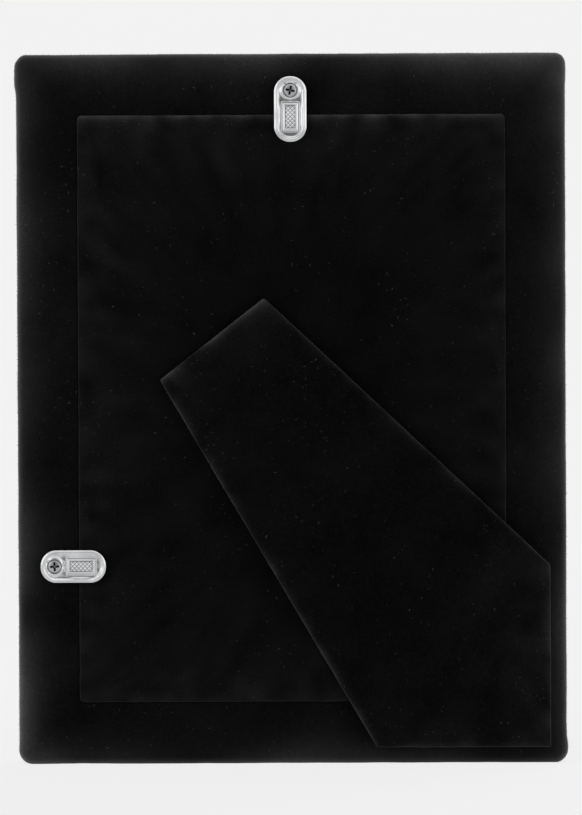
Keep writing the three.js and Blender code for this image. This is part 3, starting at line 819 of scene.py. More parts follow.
@dataclass
class Body:
    """Rails under velvet, with the metal front and the picture stack. Sizes in millimetres."""

    width: float = 170.0
    height: float = 220.0
    corner: float = 4.0
    corner_radii: tuple[float, ...] = (4.2, 3.6, 3.2, 3.2)  # of the cloth, from the lower left on
    depth: float = 9.0
    roll_width: float = 7.0
    roll_drop: float = 2.8
    velvet: float = 0.8
    opening_inset: float = 18.8
    opening_corner: float = 1.4
    fold: float = 0.5
    fold_inside: float = 0.02
    turn_in: float = -2.7
    tuck: Pair = (0.45, 1.4)  # how far the cloth is drawn in at the front, and over what height
    drawn_in: float = 0.35  # how far the opening's top and bottom give towards the middle
    crown: float = -14.0
    front_roll: Pair = (5.0, 3.0)  # width and drop
    crown_flat: float = 4.0
    sheet: float = 0.8
    lip: float = -8.2
    sight_inset: float = 24.0
    sight_corner: float = 1.0
    bead: Pair = (1.8, 0.7)  # width and rise
    bead_grime: Pair = (0.5, 0.5)  # painted shade in the groove beside the bead: most of it, and its reach
    seat: float = 0.05
    folds: tuple[CornerFold, ...] = (
        CornerFold(-1, 1, 0.5, 11.0),
        CornerFold(1, -1, 0.4, 7.0),
        CornerFold(1, 1, 0.2, 9.0),
        CornerFold(-1, -1, 0.12, 6.0),
    )
    # painted sheen falling off from the rolled outer edge, uneven along it
    edge: EdgeBand = EdgeBand(0.125, 3.2, 0.03, 10.0)
    uneven_sheen: Uneven = Uneven(0.75, 0.7, 24.0, (4.2, 9.1, 0.0))
    top_sheen: float = 0.13  # the painted sheen is a little stronger towards the top, where more light falls
    brushed: tuple[Brushed, ...] = (
        Brushed(0.5, (0.7, 1.0), (-0.25, -0.65)),
        Brushed(0.9, (-0.7, -1.0), (-0.35, -0.6)),
        Brushed(0.45, (0.0, 0.4), (0.7, 0.82)),
        Brushed(-0.25, (-0.7, -1.0), (0.35, 0.65)),
        Brushed(-0.15, (0.7, 1.0), (-0.3, 0.0)),
    )
    side_nap: float = 0.3  # painted sheen kept low on the sides, as a share
    # standing fibres and their painted grazing sheen kept low on the sides, as a share
    side_pile: float = 0.15
    fringe: Pair = (0.2, 2.5)  # insets over which the standing fibres thin out
    dust: tuple[Pair, Pair] = ((0.3, 1.2), (17.0, 17.6))  # where it starts and where it ends
    dust_share: float = 0.5
    dust_reach: float = 4.0
    dust_line: Pair = (16.5, 2.0)  # along the opening: its inset and its reach
    ripples: tuple[Triple, ...] = ((0.12, 14.0, 3.1), (0.05, 3.0, 8.4))  # amount, wave and seed
    cloth_points: tuple[float, int] = (1.6, 10)  # spacing, and steps round a corner
    front_points: tuple[float, int] = (4.0, 12)
    roll_steps: tuple[int, int] = (18, 6)  # on the face of the cloth and under it
    steps: tuple[int, ...] = (5, 4, 8, 7)  # up the tuck and the side, across and into the opening
    front_steps: tuple[int, ...] = (17, 25, 13)  # over the roll, along the slope and over the bead

    def velvet_section(self, depth: float, steps: int) -> list[Pair]:
        """Section of the cloth at a depth under its face.

        Args:
            depth: Distance under the face.
            steps: Steps over the rolled edge.

        Returns:
            Pairs of inset and height: up the side, over the roll, across and into the opening.
        """
        drawn, tall = self.tuck
        tuck, side, flat, fold = self.steps
        section = [
            (max(depth, drawn * (1 - up / tall) ** 2), up - self.depth)
            for up in np.linspace(0, tall, tuck)
        ]
        section += [(depth, z) for z in np.linspace(tall - self.depth, -self.roll_drop, side)[1:-1]]
        for angle in np.linspace(0, math.pi / 2, steps + 1):
            across = self.roll_width - (self.roll_width - depth) * math.cos(angle)
            section.append((across, (self.roll_drop - depth) * math.sin(angle) - self.roll_drop))
        radius = max(self.fold - depth, self.fold_inside)
        start = self.opening_inset - depth - radius
        section += [(x, -depth) for x in np.linspace(self.roll_width, start, flat)[1:-1]]
        for angle in np.linspace(0, math.pi / 2, fold):
            down = radius * (1 - math.cos(angle))
            section.append((start + radius * math.sin(angle), -depth - down))
        section.append((self.opening_inset - depth, self.turn_in))
        return section

    def corner_folds(self, points: np.ndarray) -> np.ndarray:
        """Push the cloth out where it is folded double around the corners.

        Args:
            points: Points of the cloth.

        Returns:
            The points with the folds in them.
        """
        moved = points.copy()
        for fold in self.folds:
            along = self.height / 2 - fold.end * points[:, 1]
            inwards = self.width / 2 - fold.side * points[:, 0]
            near = 1 - smooth_step(along, fold.length + fold.fade[0], fold.length + fold.fade[1])
            start = smooth_step(along, *fold.rounding)
            edge = 1 - smooth_step(inwards, *fold.reach)
            moved[:, 0] += fold.side * fold.rise * near * start * edge
        return moved

    def pile_values(self, points: np.ndarray, insets: np.ndarray) -> dict[Raised, np.ndarray]:
        """Say where sheen is painted, how the pile lies and what settles on it.

        Args:
            points: Points of the cloth.
            insets: Their distances from the outer edge.

        Returns:
            Values for painted sheen, standing fibres with their painted grazing sheen, and dust.
        """
        side, up = points[:, 0] / (self.width / 2), points[:, 1] / (self.height / 2)
        # painted sheen: stronger towards the top and on brushed stretches, falling off from the outer edge
        lift = 1 + self.top_sheen * up
        for patch in self.brushed:
            lift += patch.amount * smooth_step(side, *patch.across) * smooth_step(up, *patch.along)
        loose = smooth_step(points[:, 2], -self.depth, -self.roll_drop) ** 2
        nap = self.edge.at(insets) * lift * self.uneven_sheen.over(points)
        nap *= self.side_nap + (1 - self.side_nap) * loose
        pile = 1 - smooth_step(insets, *self.fringe)
        pile *= self.side_pile + (1 - self.side_pile) * loose
        starts, ends = self.dust
        place, reach = self.dust_line
        show = smooth_step(insets, *starts) * (1 - smooth_step(insets, *ends))
        show *= self.dust_share + np.exp(-insets / self.dust_reach) + np.exp(-np.abs(insets - place) / reach)
        return {Raised.NAP: nap, Raised.PILE: pile, Raised.SHOW: show}

    def velvet_skin(self) -> Skin:
        """Draw the cloth over the back and the sides of the rails.

        Returns:
            The cloth, with its pile.
        """
        outline = Outline(Outline.rectangle(self.width, self.height), self.corner_radii, *self.cloth_points)
        over, beneath = self.roll_steps
        face = self.velvet_section(0.0, over)
        section = face + self.velvet_section(self.velvet, beneath)[::-1]
        rings = [level(outline.ring(inset, self.opening_corner), z) for inset, z in section]
        points, faces = loft(rings, True)
        insets = np.repeat([inset for inset, _ in section], len(rings[0]))
        inside = smooth_step(insets, self.roll_width, self.opening_inset - self.fold)
        reach = np.clip(points[:, 1] / (self.height / 2 - self.opening_inset), -1, 1)
        points[:, 1] -= self.drawn_in * inside * reach
        points[:, :2] += np.outer(inside, PANEL_PLACE)
        outer = np.arange(len(points)) < len(face) * len(rings[0])
        values = {key: row * outer for key, row in self.pile_values(points, insets).items()}
        loose = smooth_step(points[:, 2], -self.depth, -self.roll_drop)
        skin = Skin(self.corner_folds(points), faces, values)
        for amount, wave, seed in self.ripples:
            skin = skin.rippled(amount, wave, seed, loose)
        return skin

    def front_section(self, depth: float, last: float) -> list[Pair]:
        """Section of the metal front at a depth behind its face.

        Args:
            depth: Distance behind the face.
            last: Inset at which the section ends.

        Returns:
            Pairs of inset and height: down the side, over the roll and along the slope.
        """
        wide, drop = self.front_roll
        roll, slope, _ = self.front_steps
        section = [(depth, -self.depth - self.seat)]
        for angle in np.linspace(0, math.pi / 2, roll):
            height = self.crown + drop - (drop - depth) * math.sin(angle)
            section.append((wide - (wide - depth) * math.cos(angle), height))
        start, bead = wide + self.crown_flat, self.sight_inset - self.bead[0]
        for inset in np.linspace(start, last, slope):
            share = min(max((inset - start) / (bead - start), 0.0), 1.0)
            height = self.crown + (self.lip - self.crown) * (1 - math.cos(math.pi * share)) / 2
            section.append((float(inset), height + depth))
        return section

    def front_skin(self) -> Skin:
        """Draw the metal front with its hollow slope and its bead.

        Returns:
            The pressed front.
        """
        outline = Outline(Outline.rectangle(self.width, self.height), (self.corner,) * 4, *self.front_points)
        bead = self.sight_inset - self.bead[0]
        face = self.front_section(0.0, bead)
        for angle in np.linspace(0, math.pi, self.front_steps[-1])[1:]:
            across = bead + self.bead[0] * (1 - math.cos(angle)) / 2
            face.append((across, self.lip - self.bead[1] * math.sin(angle)))
        behind = self.front_section(self.sheet, bead) + [(self.sight_inset, self.lip + self.sheet)]
        section = np.array(face[::-1] + behind)
        rings = [level(outline.ring(inset, self.sight_corner), z) for inset, z in section]
        points, faces = loft(rings, True)
        run, around = (
            np.concatenate(([0.0], np.cumsum(np.linalg.norm(np.diff(row, axis=0), axis=1))))
            for row in (section, rings[0][:, :2])
        )
        lengths = np.column_stack((np.repeat(run, len(around)), np.tile(around, len(run))))
        most, reach = self.bead_grime
        # painted shade in the groove beside the bead
        groove = np.exp(-np.abs(section[:, 0] - bead) / reach) * (section[:, 1] <= self.lip + self.seat)
        return Skin(points, faces, {Raised.GRIME: np.repeat(most * groove, len(around))}, lengths)

    def build(self, nodes: Nodes) -> Skin:
        """Build the cloth and the front, and dress what lies inside.

        Args:
            nodes: CAD nodes by name.

        Returns:
            The skin of the cloth.
        """
        cloth = self.velvet_skin()
        velvet = cloth.piece("body_cover", VELVET)
        fit(velvet, Part.FRAME, Slot.VELVET, "body_velvet")
        front = self.front_skin().piece("silver_front", SILVER)
        fit(front, Part.FRAME, Slot.SILVER, "front_moulding")
        dress(nodes, PINE, *RAILS)
        dress(nodes, STEEL, *(f"corner_nail_{i}" for i in range(1, 5)))
        dress(nodes, GLASS, "glass_pane")
        dress(nodes, INSERT_PAPER, "picture_insert")
        dress(nodes, GREYBOARD, "backing_card")
        return cloth


@dataclass
class CoveredBoard:
    """A board covered with velvet whose upper edges are rounded. Sizes in millimetres."""

    outline: Outline
    folds: tuple[EdgeBand, ...]  # painted sheen along each edge of the outline
    under: float
    top: float
    seed: float
    flats: tuple[float, ...]  # insets of the rings on the face
    fringe: float = 0.1
    fringe_edge: Pair = (0.35, 1.0)  # insets over which the standing fibres thin out
    cloth: float = 0.6
    round: float = 0.8
    uneven_sheen: Triple = (0.7, 0.9, 6.0)  # uneven painted sheen: mean, swing and wave
    clumps: Triple = (0.9, 2.6, 11.0)
    dust_share: float = 0.6
    dust_edge: Pair = (0.2, 0.6)  # insets over which dust begins
    dust: EdgeBand = EdgeBand(1.5, 0.8, 1.0, 5.0)
    steps: tuple[int, int] = (4, 10)  # up the side and over the edge

    def section(self) -> tuple[list[Pair], np.ndarray]:
        """Section of the cloth, from its underside over the side to the face.

        Returns:
            Pairs of inset and height, and which of them lie outside.
        """
        inner = self.top - self.cloth
        side, edge = self.steps
        hidden = [(self.flats[-1], inner), (self.cloth, inner), (self.cloth, self.under)]
        shown = [(0.0, z) for z in np.linspace(self.under, self.top - self.round, side)[:-1]]
        for angle in np.linspace(0, math.pi / 2, edge):
            inset = self.round * (1 - math.cos(angle))
            shown.append((inset, self.top - self.round * (1 - math.sin(angle))))
        shown += [(inset, self.top) for inset in self.flats]
        return hidden + shown, np.arange(len(hidden) + len(shown)) >= len(hidden)

    def skin(self) -> Skin:
        """Draw the cloth over the face and the sides of the board.

        Returns:
            The cloth, with its pile.
        """
        section, shown = self.section()
        rings = [level(self.outline.ring(inset), z) for inset, z in section]
        points, faces = loft(rings, False)
        insets, outer = (np.repeat(row, len(rings[0])) for row in ([i for i, _ in section], shown))
        # each has a place of its own in the noise
        uneven_sheen = Uneven(*self.uneven_sheen, (self.seed, 0, 2)).over(points)
        clumps = np.maximum(Uneven(*self.clumps, (0, self.seed, 6)).over(points), 0.0)
        away = self.outline.distances(points)
        # painted sheen along each edge, made uneven
        painted_sheen = np.max([fold.at(row) for fold, row in zip(self.folds, away)], axis=0)
        pile = self.fringe * (1 - smooth_step(insets, *self.fringe_edge))
        settled = self.dust_share + self.dust.at(insets)
        show = smooth_step(insets, *self.dust_edge) * settled * clumps
        values = {Raised.NAP: painted_sheen * uneven_sheen, Raised.PILE: pile, Raised.SHOW: show}
        return Skin(points, faces, {key: row * outer for key, row in values.items()})


@dataclass
class BackPanel:
    """The panel that closes the picture opening, held by tongues and turn buttons. Millimetres."""

    width: float = 132.2
    height: float = 181.5
    corner: float = 1.4
    under: float = -2.55
    top: float = 0.5
    seed: float = 5.2
    fringe: float = 0.06
    ripple: Pair = (0.1, 9.0)
    flats: tuple[float, ...] = (1.1, 1.6, 2.4, 4.0, 7.0, 12.0, 24.0, 40.0, 60.0)
    folds: tuple[EdgeBand, ...] = (  # painted sheen along the bottom, right, top and left; strongest on the top, where light falls from above
        EdgeBand(0.016, 2.0, 0.022, 20.0),
        EdgeBand(0.014, 1.5, 0.016, 18.0),
        EdgeBand(0.19, 0.8, 0.026, 18.0),
        EdgeBand(0.006, 1.2, 0.02, 22.0),
    )

    def build(self, nodes: Nodes) -> Skin:
        """Build the panel's cloth, and dress its board, lining and tongues.

        Args:
            nodes: CAD nodes by name.

        Returns:
            The skin of the cloth.
        """
        outline = Outline(Outline.rectangle(self.width, self.height), (self.corner,) * 4)
        board = CoveredBoard(outline, self.folds, self.under, self.top, self.seed, self.flats, self.fringe)
        cloth = board.skin().placed(*PANEL_PLACE, 0.0).rippled(*self.ripple, self.seed)
        cover = cloth.piece("panel_cover", VELVET)
        fit(cover, Part.FRAME, Slot.VELVET, "panel_velvet")
        dress(nodes, HARDBOARD, "panel_board")
        dress(nodes, LINING_PAPER, "panel_lining")
        for side in ("bottom", "right"):
            dress(nodes, BLACK_STEEL, f"tongue_{side}", f"tongue_{side}_rivet")
        return cloth


@dataclass
class Strut:
    """The strut that props the frame, on a hinge set at a slant. Sizes in millimetres."""

    foot: Pair = (79.75, -104.6)  # corner between both feet
    feet: Pair = (53.75, 56.2)  # lengths of the lower and the right foot
    hinge_edge: float = 40.9
    hinge_angle: float = 38.0
    hinge_middle: Pair = (-24.5, 21.75)
    setback: float = 2.39  # from the hinge edge to the axis
    hinge_height: float = 1.75
    opening: float = 30.0
    corner: float = 0.8
    under: float = 0.8
    top: float = 3.8
    stop_face: float = -1.05
    seed: float = 1.7
    ripple: Pair = (0.08, 8.0)
    flats: tuple[float, ...] = (1.1, 1.6, 2.4, 4.0, 7.0, 11.0, 16.0)
    rubbed: Pair = (0.06, 3.0)  # painted highlight on the corners at the hinge, and its reach
    folds: tuple[EdgeBand, ...] = (  # painted sheen along the left edge, lower foot, right foot, right edge and hinge edge
        EdgeBand(0.11, 0.7, 0.005, 8.0),
        EdgeBand(0.06, 0.9, 0.018, 10.0),
        EdgeBand(0.06, 1.2, 0.022, 13.0),
        EdgeBand(0.06, 0.7, 0.003, 8.0),
        EdgeBand(0.22, 0.8, 0.016, 10.0),
    )

    def outline(self) -> Outline:
        """Lay out the strut's five corners.

        Returns:
            The outline, from the left end of the hinge edge round past both feet.
        """
        turn = math.radians(self.hinge_angle)
        along = np.array([math.cos(turn), math.sin(turn)]) * self.hinge_edge / 2
        middle, (x, y) = np.array(self.hinge_middle), self.foot
        feet = ((x - self.feet[0], y), (x, y), (x, y + self.feet[1]))
        corners = (tuple(middle - along), *feet, tuple(middle + along))
        return Outline(corners, (self.corner,) * 5)

    def clear_of_panel(self, points: np.ndarray) -> np.ndarray:
        """Slope the lower edge at the hinge, so that the open strut clears the panel.

        Args:
            points: Points of the cloth.

        Returns:
            The points with the slope.
        """
        turn, swing = math.radians(self.hinge_angle), math.radians(self.opening)
        to_foot = np.array([math.sin(turn), -math.cos(turn)])
        axis = np.array(self.hinge_middle) + to_foot * self.setback
        back = -(points[:, :2] - axis) @ to_foot
        lowest = (self.stop_face + back * math.sin(swing)) / math.cos(swing) + self.hinge_height
        return np.column_stack((points[:, :2], np.maximum(points[:, 2], lowest)))

    def build(self, nodes: Nodes) -> Skin:
        """Build the strut's cloth, and dress its board, lining and hinge.

        Args:
            nodes: CAD nodes by name.

        Returns:
            The skin of the cloth.
        """
        board = CoveredBoard(self.outline(), self.folds, self.under, self.top, self.seed, self.flats)
        cloth = board.skin()
        # painted highlight on both corners at the hinge
        most, reach = self.rubbed
        for x, y in (board.outline.corners[0], board.outline.corners[-1]):
            near = np.hypot(cloth.points[:, 0] - x, cloth.points[:, 1] - y)
            cloth.values[Raised.NAP] += most * np.exp(-near / reach) * (cloth.values[Raised.SHOW] > 0)
        cloth.points = self.clear_of_panel(cloth.points)
        cloth = cloth.rippled(*self.ripple, self.seed)
        cover = cloth.piece("strut_cover", VELVET)
        fit(cover, Part.STRUT, Slot.VELVET, "strut_velvet")
        dress(nodes, HARDBOARD, "strut_board")
        dress(nodes, LINING_PAPER, "strut_lining")
        dress(nodes, STEEL, "hinge_strut_leaf", "hinge_panel_leaf", "hinge_pin")
        for i in (1, 2):
            dress(nodes, STEEL, f"hinge_strut_rivet_{i}", f"hinge_panel_rivet_{i}")
        return cloth


@dataclass
class TurnButton:
    """A stamped turn button on its screw, drawn pointing down from its pivot. Millimetres."""

    side: str
    part: Part
    pivot: Pair
    turn: float
    cross_turn: float
    half_width: float = 5.1
    above: float = 4.4
    below: float = 16.0
    end_radius: float = 4.9
    under: float = 0.75
    top: float = 2.35
    floor: float = 1.75
    sheet: float = 0.6
    rim: Triple = (0.8, 1.15, 2.1)  # insets of the crest, the groove and the basin
    edge: Pair = (0.15, 0.22)  # width and drop of the rolled edge
    groove: float = 0.24
    steep: tuple[Pair, Pair, Pair] = ((-12.6, -9.8), (-6.4, -3.4), (-13.8, -12.8))  # y where the wall turns
    curves: tuple[float, ...] = (1.15, 2.0, 1.3, 2.5)  # powers of flank, edge, bead and hollow
    dents: float = 0.03
    dent_waves: tuple[Pair, Pair] = ((2.1, 0.5), (-0.7, 1.4))  # across and along
    face_steps: tuple[int, int] = (96, 150)  # across and along
    collar: Pair = (3.65, 2.95)  # half its width and half its height
    # each lobe's angle from the top, its reach and how far it is pressed down
    lobes: tuple[Triple, ...] = ((0.65, 0.3, 0.8), (0.0, 0.4, 0.5), (math.pi, 0.2, 0.7))
    collar_steps: int = 96
    seat: float = 2.25
    seat_floor: float = 0.85
    seat_step: Pair = (0.1, 0.4)  # past the seat, where the face starts and is full
    cartouche: Triple = (6.0, 9.8, -8.2)  # width, length and place
    cartouche_corner: float = 0.5
    knurl: Pair = (1.3, 0.26)  # pitch and rise
    knurl_place: Pair = (1.38, 0.19)  # inset and height
    knurl_edge: Pair = (0.1, 0.35)  # from the edge, where it starts and is full
    knurl_points: tuple[int, int] = (65, 141)  # across and along
    knurl_grime: Pair = (0.7, 0.35)  # painted shade in the knurl's valleys: most of it, and the relief at which it ends
    # darker patches in the dish: most of it, then place and reach across and along
    darkening: tuple[tuple[float, float, float, float, float], ...] = (
        (0.4, 0.0, 3.0, -13.5, 0.7),
        (0.3, 2.9, 0.8, -2.9, 0.8),
    )
    head: Triple = (2.2, 1.1, 2.2)  # radius, seat and crown
    head_wall: float = 0.35
    head_edge: Pair = (0.97, 0.05)  # share of the radius at the seat, and height of the edge
    head_flat: float = 0.02
    # painted shade on the seat ring under the screw's head
    head_grime: float = 0.5
    dome: float = 2.6  # power of the head's rounding
    screw_steps: tuple[int, ...] = (144, 72, 46)  # around, up the shank and over the dome
    shank: Triple = (1.1, 8.0, 0.9)  # radius, length and pitch
    point: float = 0.15  # share of the radius at the tip
    thread: float = 0.24  # depth, as a share of the radius
    cross: Triple = (1.4, 0.3, 0.9)  # reach, half width and depth
    cross_side: Pair = (-0.06, 0.04)  # where its walls start and end, about the half width
    cross_end: Pair = (-0.25, 0.05)  # the same about the reach
    rubbed: Pair = (0.6, 0.3)  # how much of the painted shade the middle of the cross is spared, and how far

    def heights(self, x: np.ndarray, y: np.ndarray) -> np.ndarray:
        """Height of the pressed face with its rim, without what is stamped in the dish.

        Args:
            x: Places across.
            y: Places along.

        Returns:
            Heights on the bench.
        """
        # distance inwards from the rounded outline
        middle, half = (self.above - self.below) / 2, (self.above + self.below) / 2
        qx = np.abs(x) - self.half_width + self.end_radius
        qy = np.abs(y - middle) - half + self.end_radius
        outside = np.hypot(np.maximum(qx, 0), np.maximum(qy, 0))
        inset = self.end_radius - outside - np.minimum(np.maximum(qx, qy), 0)
        (crest, groove, basin), dish = self.rim, self.top - self.floor
        rolled, drop = self.edge
        flanked, edged, bead, hollowed = self.curves
        # up the flank to the crest, with its rolled edge
        flank = 1 - np.clip(inset / crest, 0, 1)
        roll = 1 - np.clip(inset / rolled, 0, 1)
        outer = (dish - drop) * flank**flanked + drop * roll**edged
        # from the crest into the dish: steep behind a bead on the long sides and the end, else hollow
        hollow = 1 - np.clip((inset - crest) / (basin - crest), 0, 1)
        beaded = 1 - np.clip((inset - crest) / (groove - crest), 0, 1)
        wall = (dish - self.groove) * (1 - smooth_step(inset, groove, basin))
        low, high, end = self.steep
        steep = smooth_step(y, *low) * (1 - smooth_step(y, *high)) + 1 - smooth_step(y, *end)
        inner = (wall + self.groove * beaded**bead) * steep + dish * hollow**hollowed * (1 - steep)
        (a, b), (c, d) = self.dent_waves
        dents = np.sin(a * x + b * y) * np.cos(c * x + d * y) * (1 - hollow)
        z = np.where(inset < crest, self.top - outer, self.floor + inner) + self.dents * dents
        # sunk round the pivot, under the collar
        first, last = self.seat_step
        sunk = smooth_step(np.hypot(x, y), self.seat + first, self.seat + last)
        under = self.seat_floor - first
        return under + (z - under) * sunk

    def collar_skin(self) -> Skin:
        """Draw the raised oval collar and the screw's seat inside it.

        Returns:
            The collar, around the pivot.
        """
        seat = self.seat_floor - self.floor
        profile = (  # share of the way out, height and painted shade
            (1.0, -0.05, 0.2), (0.97, 0.02, 0.2), (0.8, 0.14, 0.0), (0.5, 0.35, 0.0),
            (0.25, 0.52, 0.0), (0.12, 0.58, 0.0), (0.05, 0.57, 0.1), (0.0, 0.4, 0.2),
            (0.0, seat, 0.6), (-0.6, seat, 0.6),
        )
        angles = np.linspace(0, 2 * math.pi, self.collar_steps + 1)[:-1]
        circle = np.column_stack((np.cos(angles), np.sin(angles)))
        oval = 1 / np.hypot(circle[:, 0] / self.collar[0], circle[:, 1] / self.collar[1])
        from_top = np.arccos(circle[:, 1])
        raised = np.ones(len(angles))
        for at, reach, press in self.lobes:
            raised -= press * np.exp(-(((from_top - at) / reach) ** 2))
        rings = []
        for share, z, _ in profile:
            out = self.seat + (oval - self.seat if share > 0 else 1.0) * share
            height = self.floor + (z * raised if z > 0 else np.full(len(circle), z))
            rings.append(np.column_stack((circle * np.reshape(out, (-1, 1)), height)))
        points, faces = loft(rings, True)
        # painted shade at the collar's edge and in the seat
        grime = np.repeat([darkening for _, _, darkening in profile], len(angles))
        return Skin.rubbed(points, faces, grime)

    def cartouche_skin(self) -> Skin:
        """Draw the stepped rectangle around its sunk middle.

        Returns:
            The rectangle, below the pivot.
        """
        wide, long, place = self.cartouche
        outline = Outline(Outline.rectangle(wide, long), (self.cartouche_corner,) * 4, spacing=1.0)
        profile = (  # inset, height and painted shade
            (0.0, -0.05, 0.4), (0.03, 0.0, 0.3), (0.28, 0.15, 0.0), (0.33, 0.165, 0.0),
            (0.37, 0.165, 0.0), (0.55, 0.165, 0.15), (0.6, 0.17, 0.2), (0.64, 0.185, 0.0),
            (0.98, 0.37, 0.0), (1.02, 0.385, 0.0), (1.05, 0.385, 0.0), (1.1, 0.385, 0.0),
            (1.13, 0.375, 0.0), (1.34, 0.2, 0.15), (1.37, 0.19, 0.3), (1.42, 0.15, 0.2),
        )
        points, faces = loft([level(outline.ring(i), self.floor + z) for i, z, _ in profile], False)
        points[:, 1] += place
        # painted shade in the steps
        grime = np.repeat([darkening for _, _, darkening in profile], len(points) // len(profile))
        return Skin.rubbed(points, faces, grime)

    def knurl_skin(self) -> Skin:
        """Draw the plain diamond knurling in the middle of the rectangle.

        Returns:
            The knurling, below the pivot.
        """
        wide, long, place = self.cartouche
        (pitch, rise), (inset, height), (most, clean) = self.knurl, self.knurl_place, self.knurl_grime
        half, tall, (columns, rows) = wide / 2 - inset, long / 2 - inset, self.knurl_points
        x, y = np.meshgrid(np.linspace(-half, half, columns), np.linspace(-tall, tall, rows))
        ramps = [1 - np.abs(2 * ((d / pitch) % 1.0) - 1) for d in (x + y, x - y)]
        edge = smooth_step(np.minimum(half - np.abs(x), tall - np.abs(y)), *self.knurl_edge)
        relief = np.minimum(*ramps) * edge
        z = self.floor + height + rise * relief
        points = np.column_stack((x.ravel(), y.ravel() + place, z.ravel()))
        faces = quads(np.arange(rows * columns).reshape(rows, columns))
        # painted shade in the knurl's valleys
        grime = most * (1 - smooth_step(relief, 0.0, clean)).ravel()
        return Skin.rubbed(points, faces, grime)

    def grid(self, inset: float, across: int, along: int) -> tuple[np.ndarray, np.ndarray]:
        """Points over the button's outline, moved inwards.

        Args:
            inset: Distance inwards.
            across: Steps across.
            along: Steps along.

        Returns:
            Places across and along, as grids.
        """
        half, radius = self.half_width - inset, self.end_radius - inset
        x = half * np.sin(np.linspace(-math.pi / 2, math.pi / 2, across + 1))
        past = np.maximum(np.abs(x) - half + radius, 0)
        round_off = radius - np.sqrt(np.maximum(radius**2 - past**2, 0))
        low, high = -self.below + inset + round_off, self.above - inset - round_off
        share = np.linspace(0, 1, along + 1)[:, None]
        return np.tile(x, (along + 1, 1)), low + (high - low) * share

    def button_skin(self) -> Skin:
        """Draw the pressed sheet with its face, wall and hollow back, and what is stamped in it.

        Returns:
            The whole button, around the pivot.
        """
        across, along = self.face_steps
        x, y = self.grid(0.0, across, along)
        face = np.column_stack((x.ravel(), y.ravel(), self.heights(x, y).ravel()))
        x, y = self.grid(self.sheet, across, along)
        back = np.column_stack((x.ravel(), y.ravel(), self.heights(x, y).ravel() - self.sheet))
        size = len(face)
        number = np.arange(size).reshape(along + 1, across + 1)
        faces = quads(number) + quads(number + size, True)
        loop = np.concatenate(
            (number[0, :-1], number[:-1, -1], number[-1, :0:-1], number[:0:-1, 0])
        ).tolist()
        outer, inner = face[loop], back[loop]
        outer[:, 2] = inner[:, 2] = self.under
        start, count = 2 * size, len(loop)
        for i in range(count):
            j = (i + 1) % count
            p, q = start + i, start + j
            faces.append((p, q, loop[j], loop[i]))
            faces.append((p + count, q + count, q, p))
            faces.append((loop[i] + size, loop[j] + size, q + count, p + count))
        points = np.vstack((face, back, outer, inner))
        # darker patches in the dish
        grime = np.zeros(len(points))
        for most, place, reach, at, run in self.darkening:
            away = ((np.abs(points[:, 0]) - place) / reach) ** 4 + ((points[:, 1] - at) / run) ** 4
            grime += most * np.exp(-away)
        pressed = Skin.rubbed(points, faces, grime)
        for stamped in (self.collar_skin(), self.cartouche_skin(), self.knurl_skin()):
            pressed = pressed.joined(stamped)
        return pressed

    def shank_rings(self, angles: np.ndarray) -> list[np.ndarray]:
        """Rings of the screw's pointed and threaded shank.

        Args:
            angles: Directions around the screw.

        Returns:
            The rings, from the tip up.
        """
        core, length, pitch = self.shank
        seat = self.head[1]
        tip = seat - length
        rings = []
        for z in np.linspace(tip, seat, self.screw_steps[1]):
            ridge = np.abs(((z / pitch + angles / (2 * math.pi)) % 1.0) - 0.5) * 2
            taper = min(1.0, self.point + (z - tip) / (core * 2))
            r = core * taper * (1 - self.thread + self.thread * ridge)
            rings.append(np.column_stack((r * np.cos(angles), r * np.sin(angles), 0 * angles + z)))
        return rings

    def screw_skin(self) -> Skin:
        """Draw the cross-head screw with its thread.

        Returns:
            The screw, around the pivot.
        """
        radius, seat, crown = self.head
        reach, half, deep = self.cross
        turn = math.radians(self.cross_turn)
        around, _, over = self.screw_steps
        angles = np.linspace(0, 2 * math.pi, around + 1)[:-1]
        rings = self.shank_rings(angles)
        grime = [0 * angles] * len(rings)
        shoulder = seat + self.head_wall
        share, edge = self.head_edge
        profile = [(radius * share, seat), (radius, seat + edge), (radius, shoulder)]
        for r in radius * np.cos(np.linspace(0, math.pi / 2, over))[1:-1]:
            dome = math.sqrt(1 - (r / radius) ** self.dome)
            profile.append((r, shoulder + (crown - shoulder) * dome))
        profile.append((self.head_flat, crown))
        for r, z in profile:
            x, y = r * np.cos(angles), r * np.sin(angles)
            u = x * math.cos(turn) + y * math.sin(turn)
            v = y * math.cos(turn) - x * math.sin(turn)
            dig = np.zeros_like(x)
            for a, b in ((u, v), (v, u)):
                side = 1 - smooth_step(np.abs(b), *(half + move for move in self.cross_side))
                end = 1 - smooth_step(np.abs(a), *(reach + move for move in self.cross_end))
                dig = np.maximum(dig, side * end)
            rings.append(np.column_stack((x, y, z - deep * dig if z > shoulder else 0 * x + z)))
            # painted shade in the cross recess and on the seat under the head, less in the middle of the
            # cross
            rubbed = self.rubbed[0] * math.exp(-((r / self.rubbed[1]) ** 2))
            grime.append(np.maximum(dig * (1 - rubbed), self.head_grime if z <= shoulder else 0.0))
        points, faces = loft(rings, False)
        return Skin.rubbed(points, faces, np.concatenate(grime))

    def build(self) -> None:
        """Build the button and its screw."""
        button = self.button_skin().placed(*self.pivot, self.turn)
        pressed = button.piece(f"{self.side}_button", NICKEL)
        fit(pressed, self.part, Slot.NICKEL, f"turn_button_{self.side}")
        screw = self.screw_skin().placed(*self.pivot, self.turn)
        turned = screw.piece(f"{self.side}_button_screw", SCREW_NICKEL)
        fit(turned, Part.FRAME, Slot.NICKEL, f"screw_{self.side}")


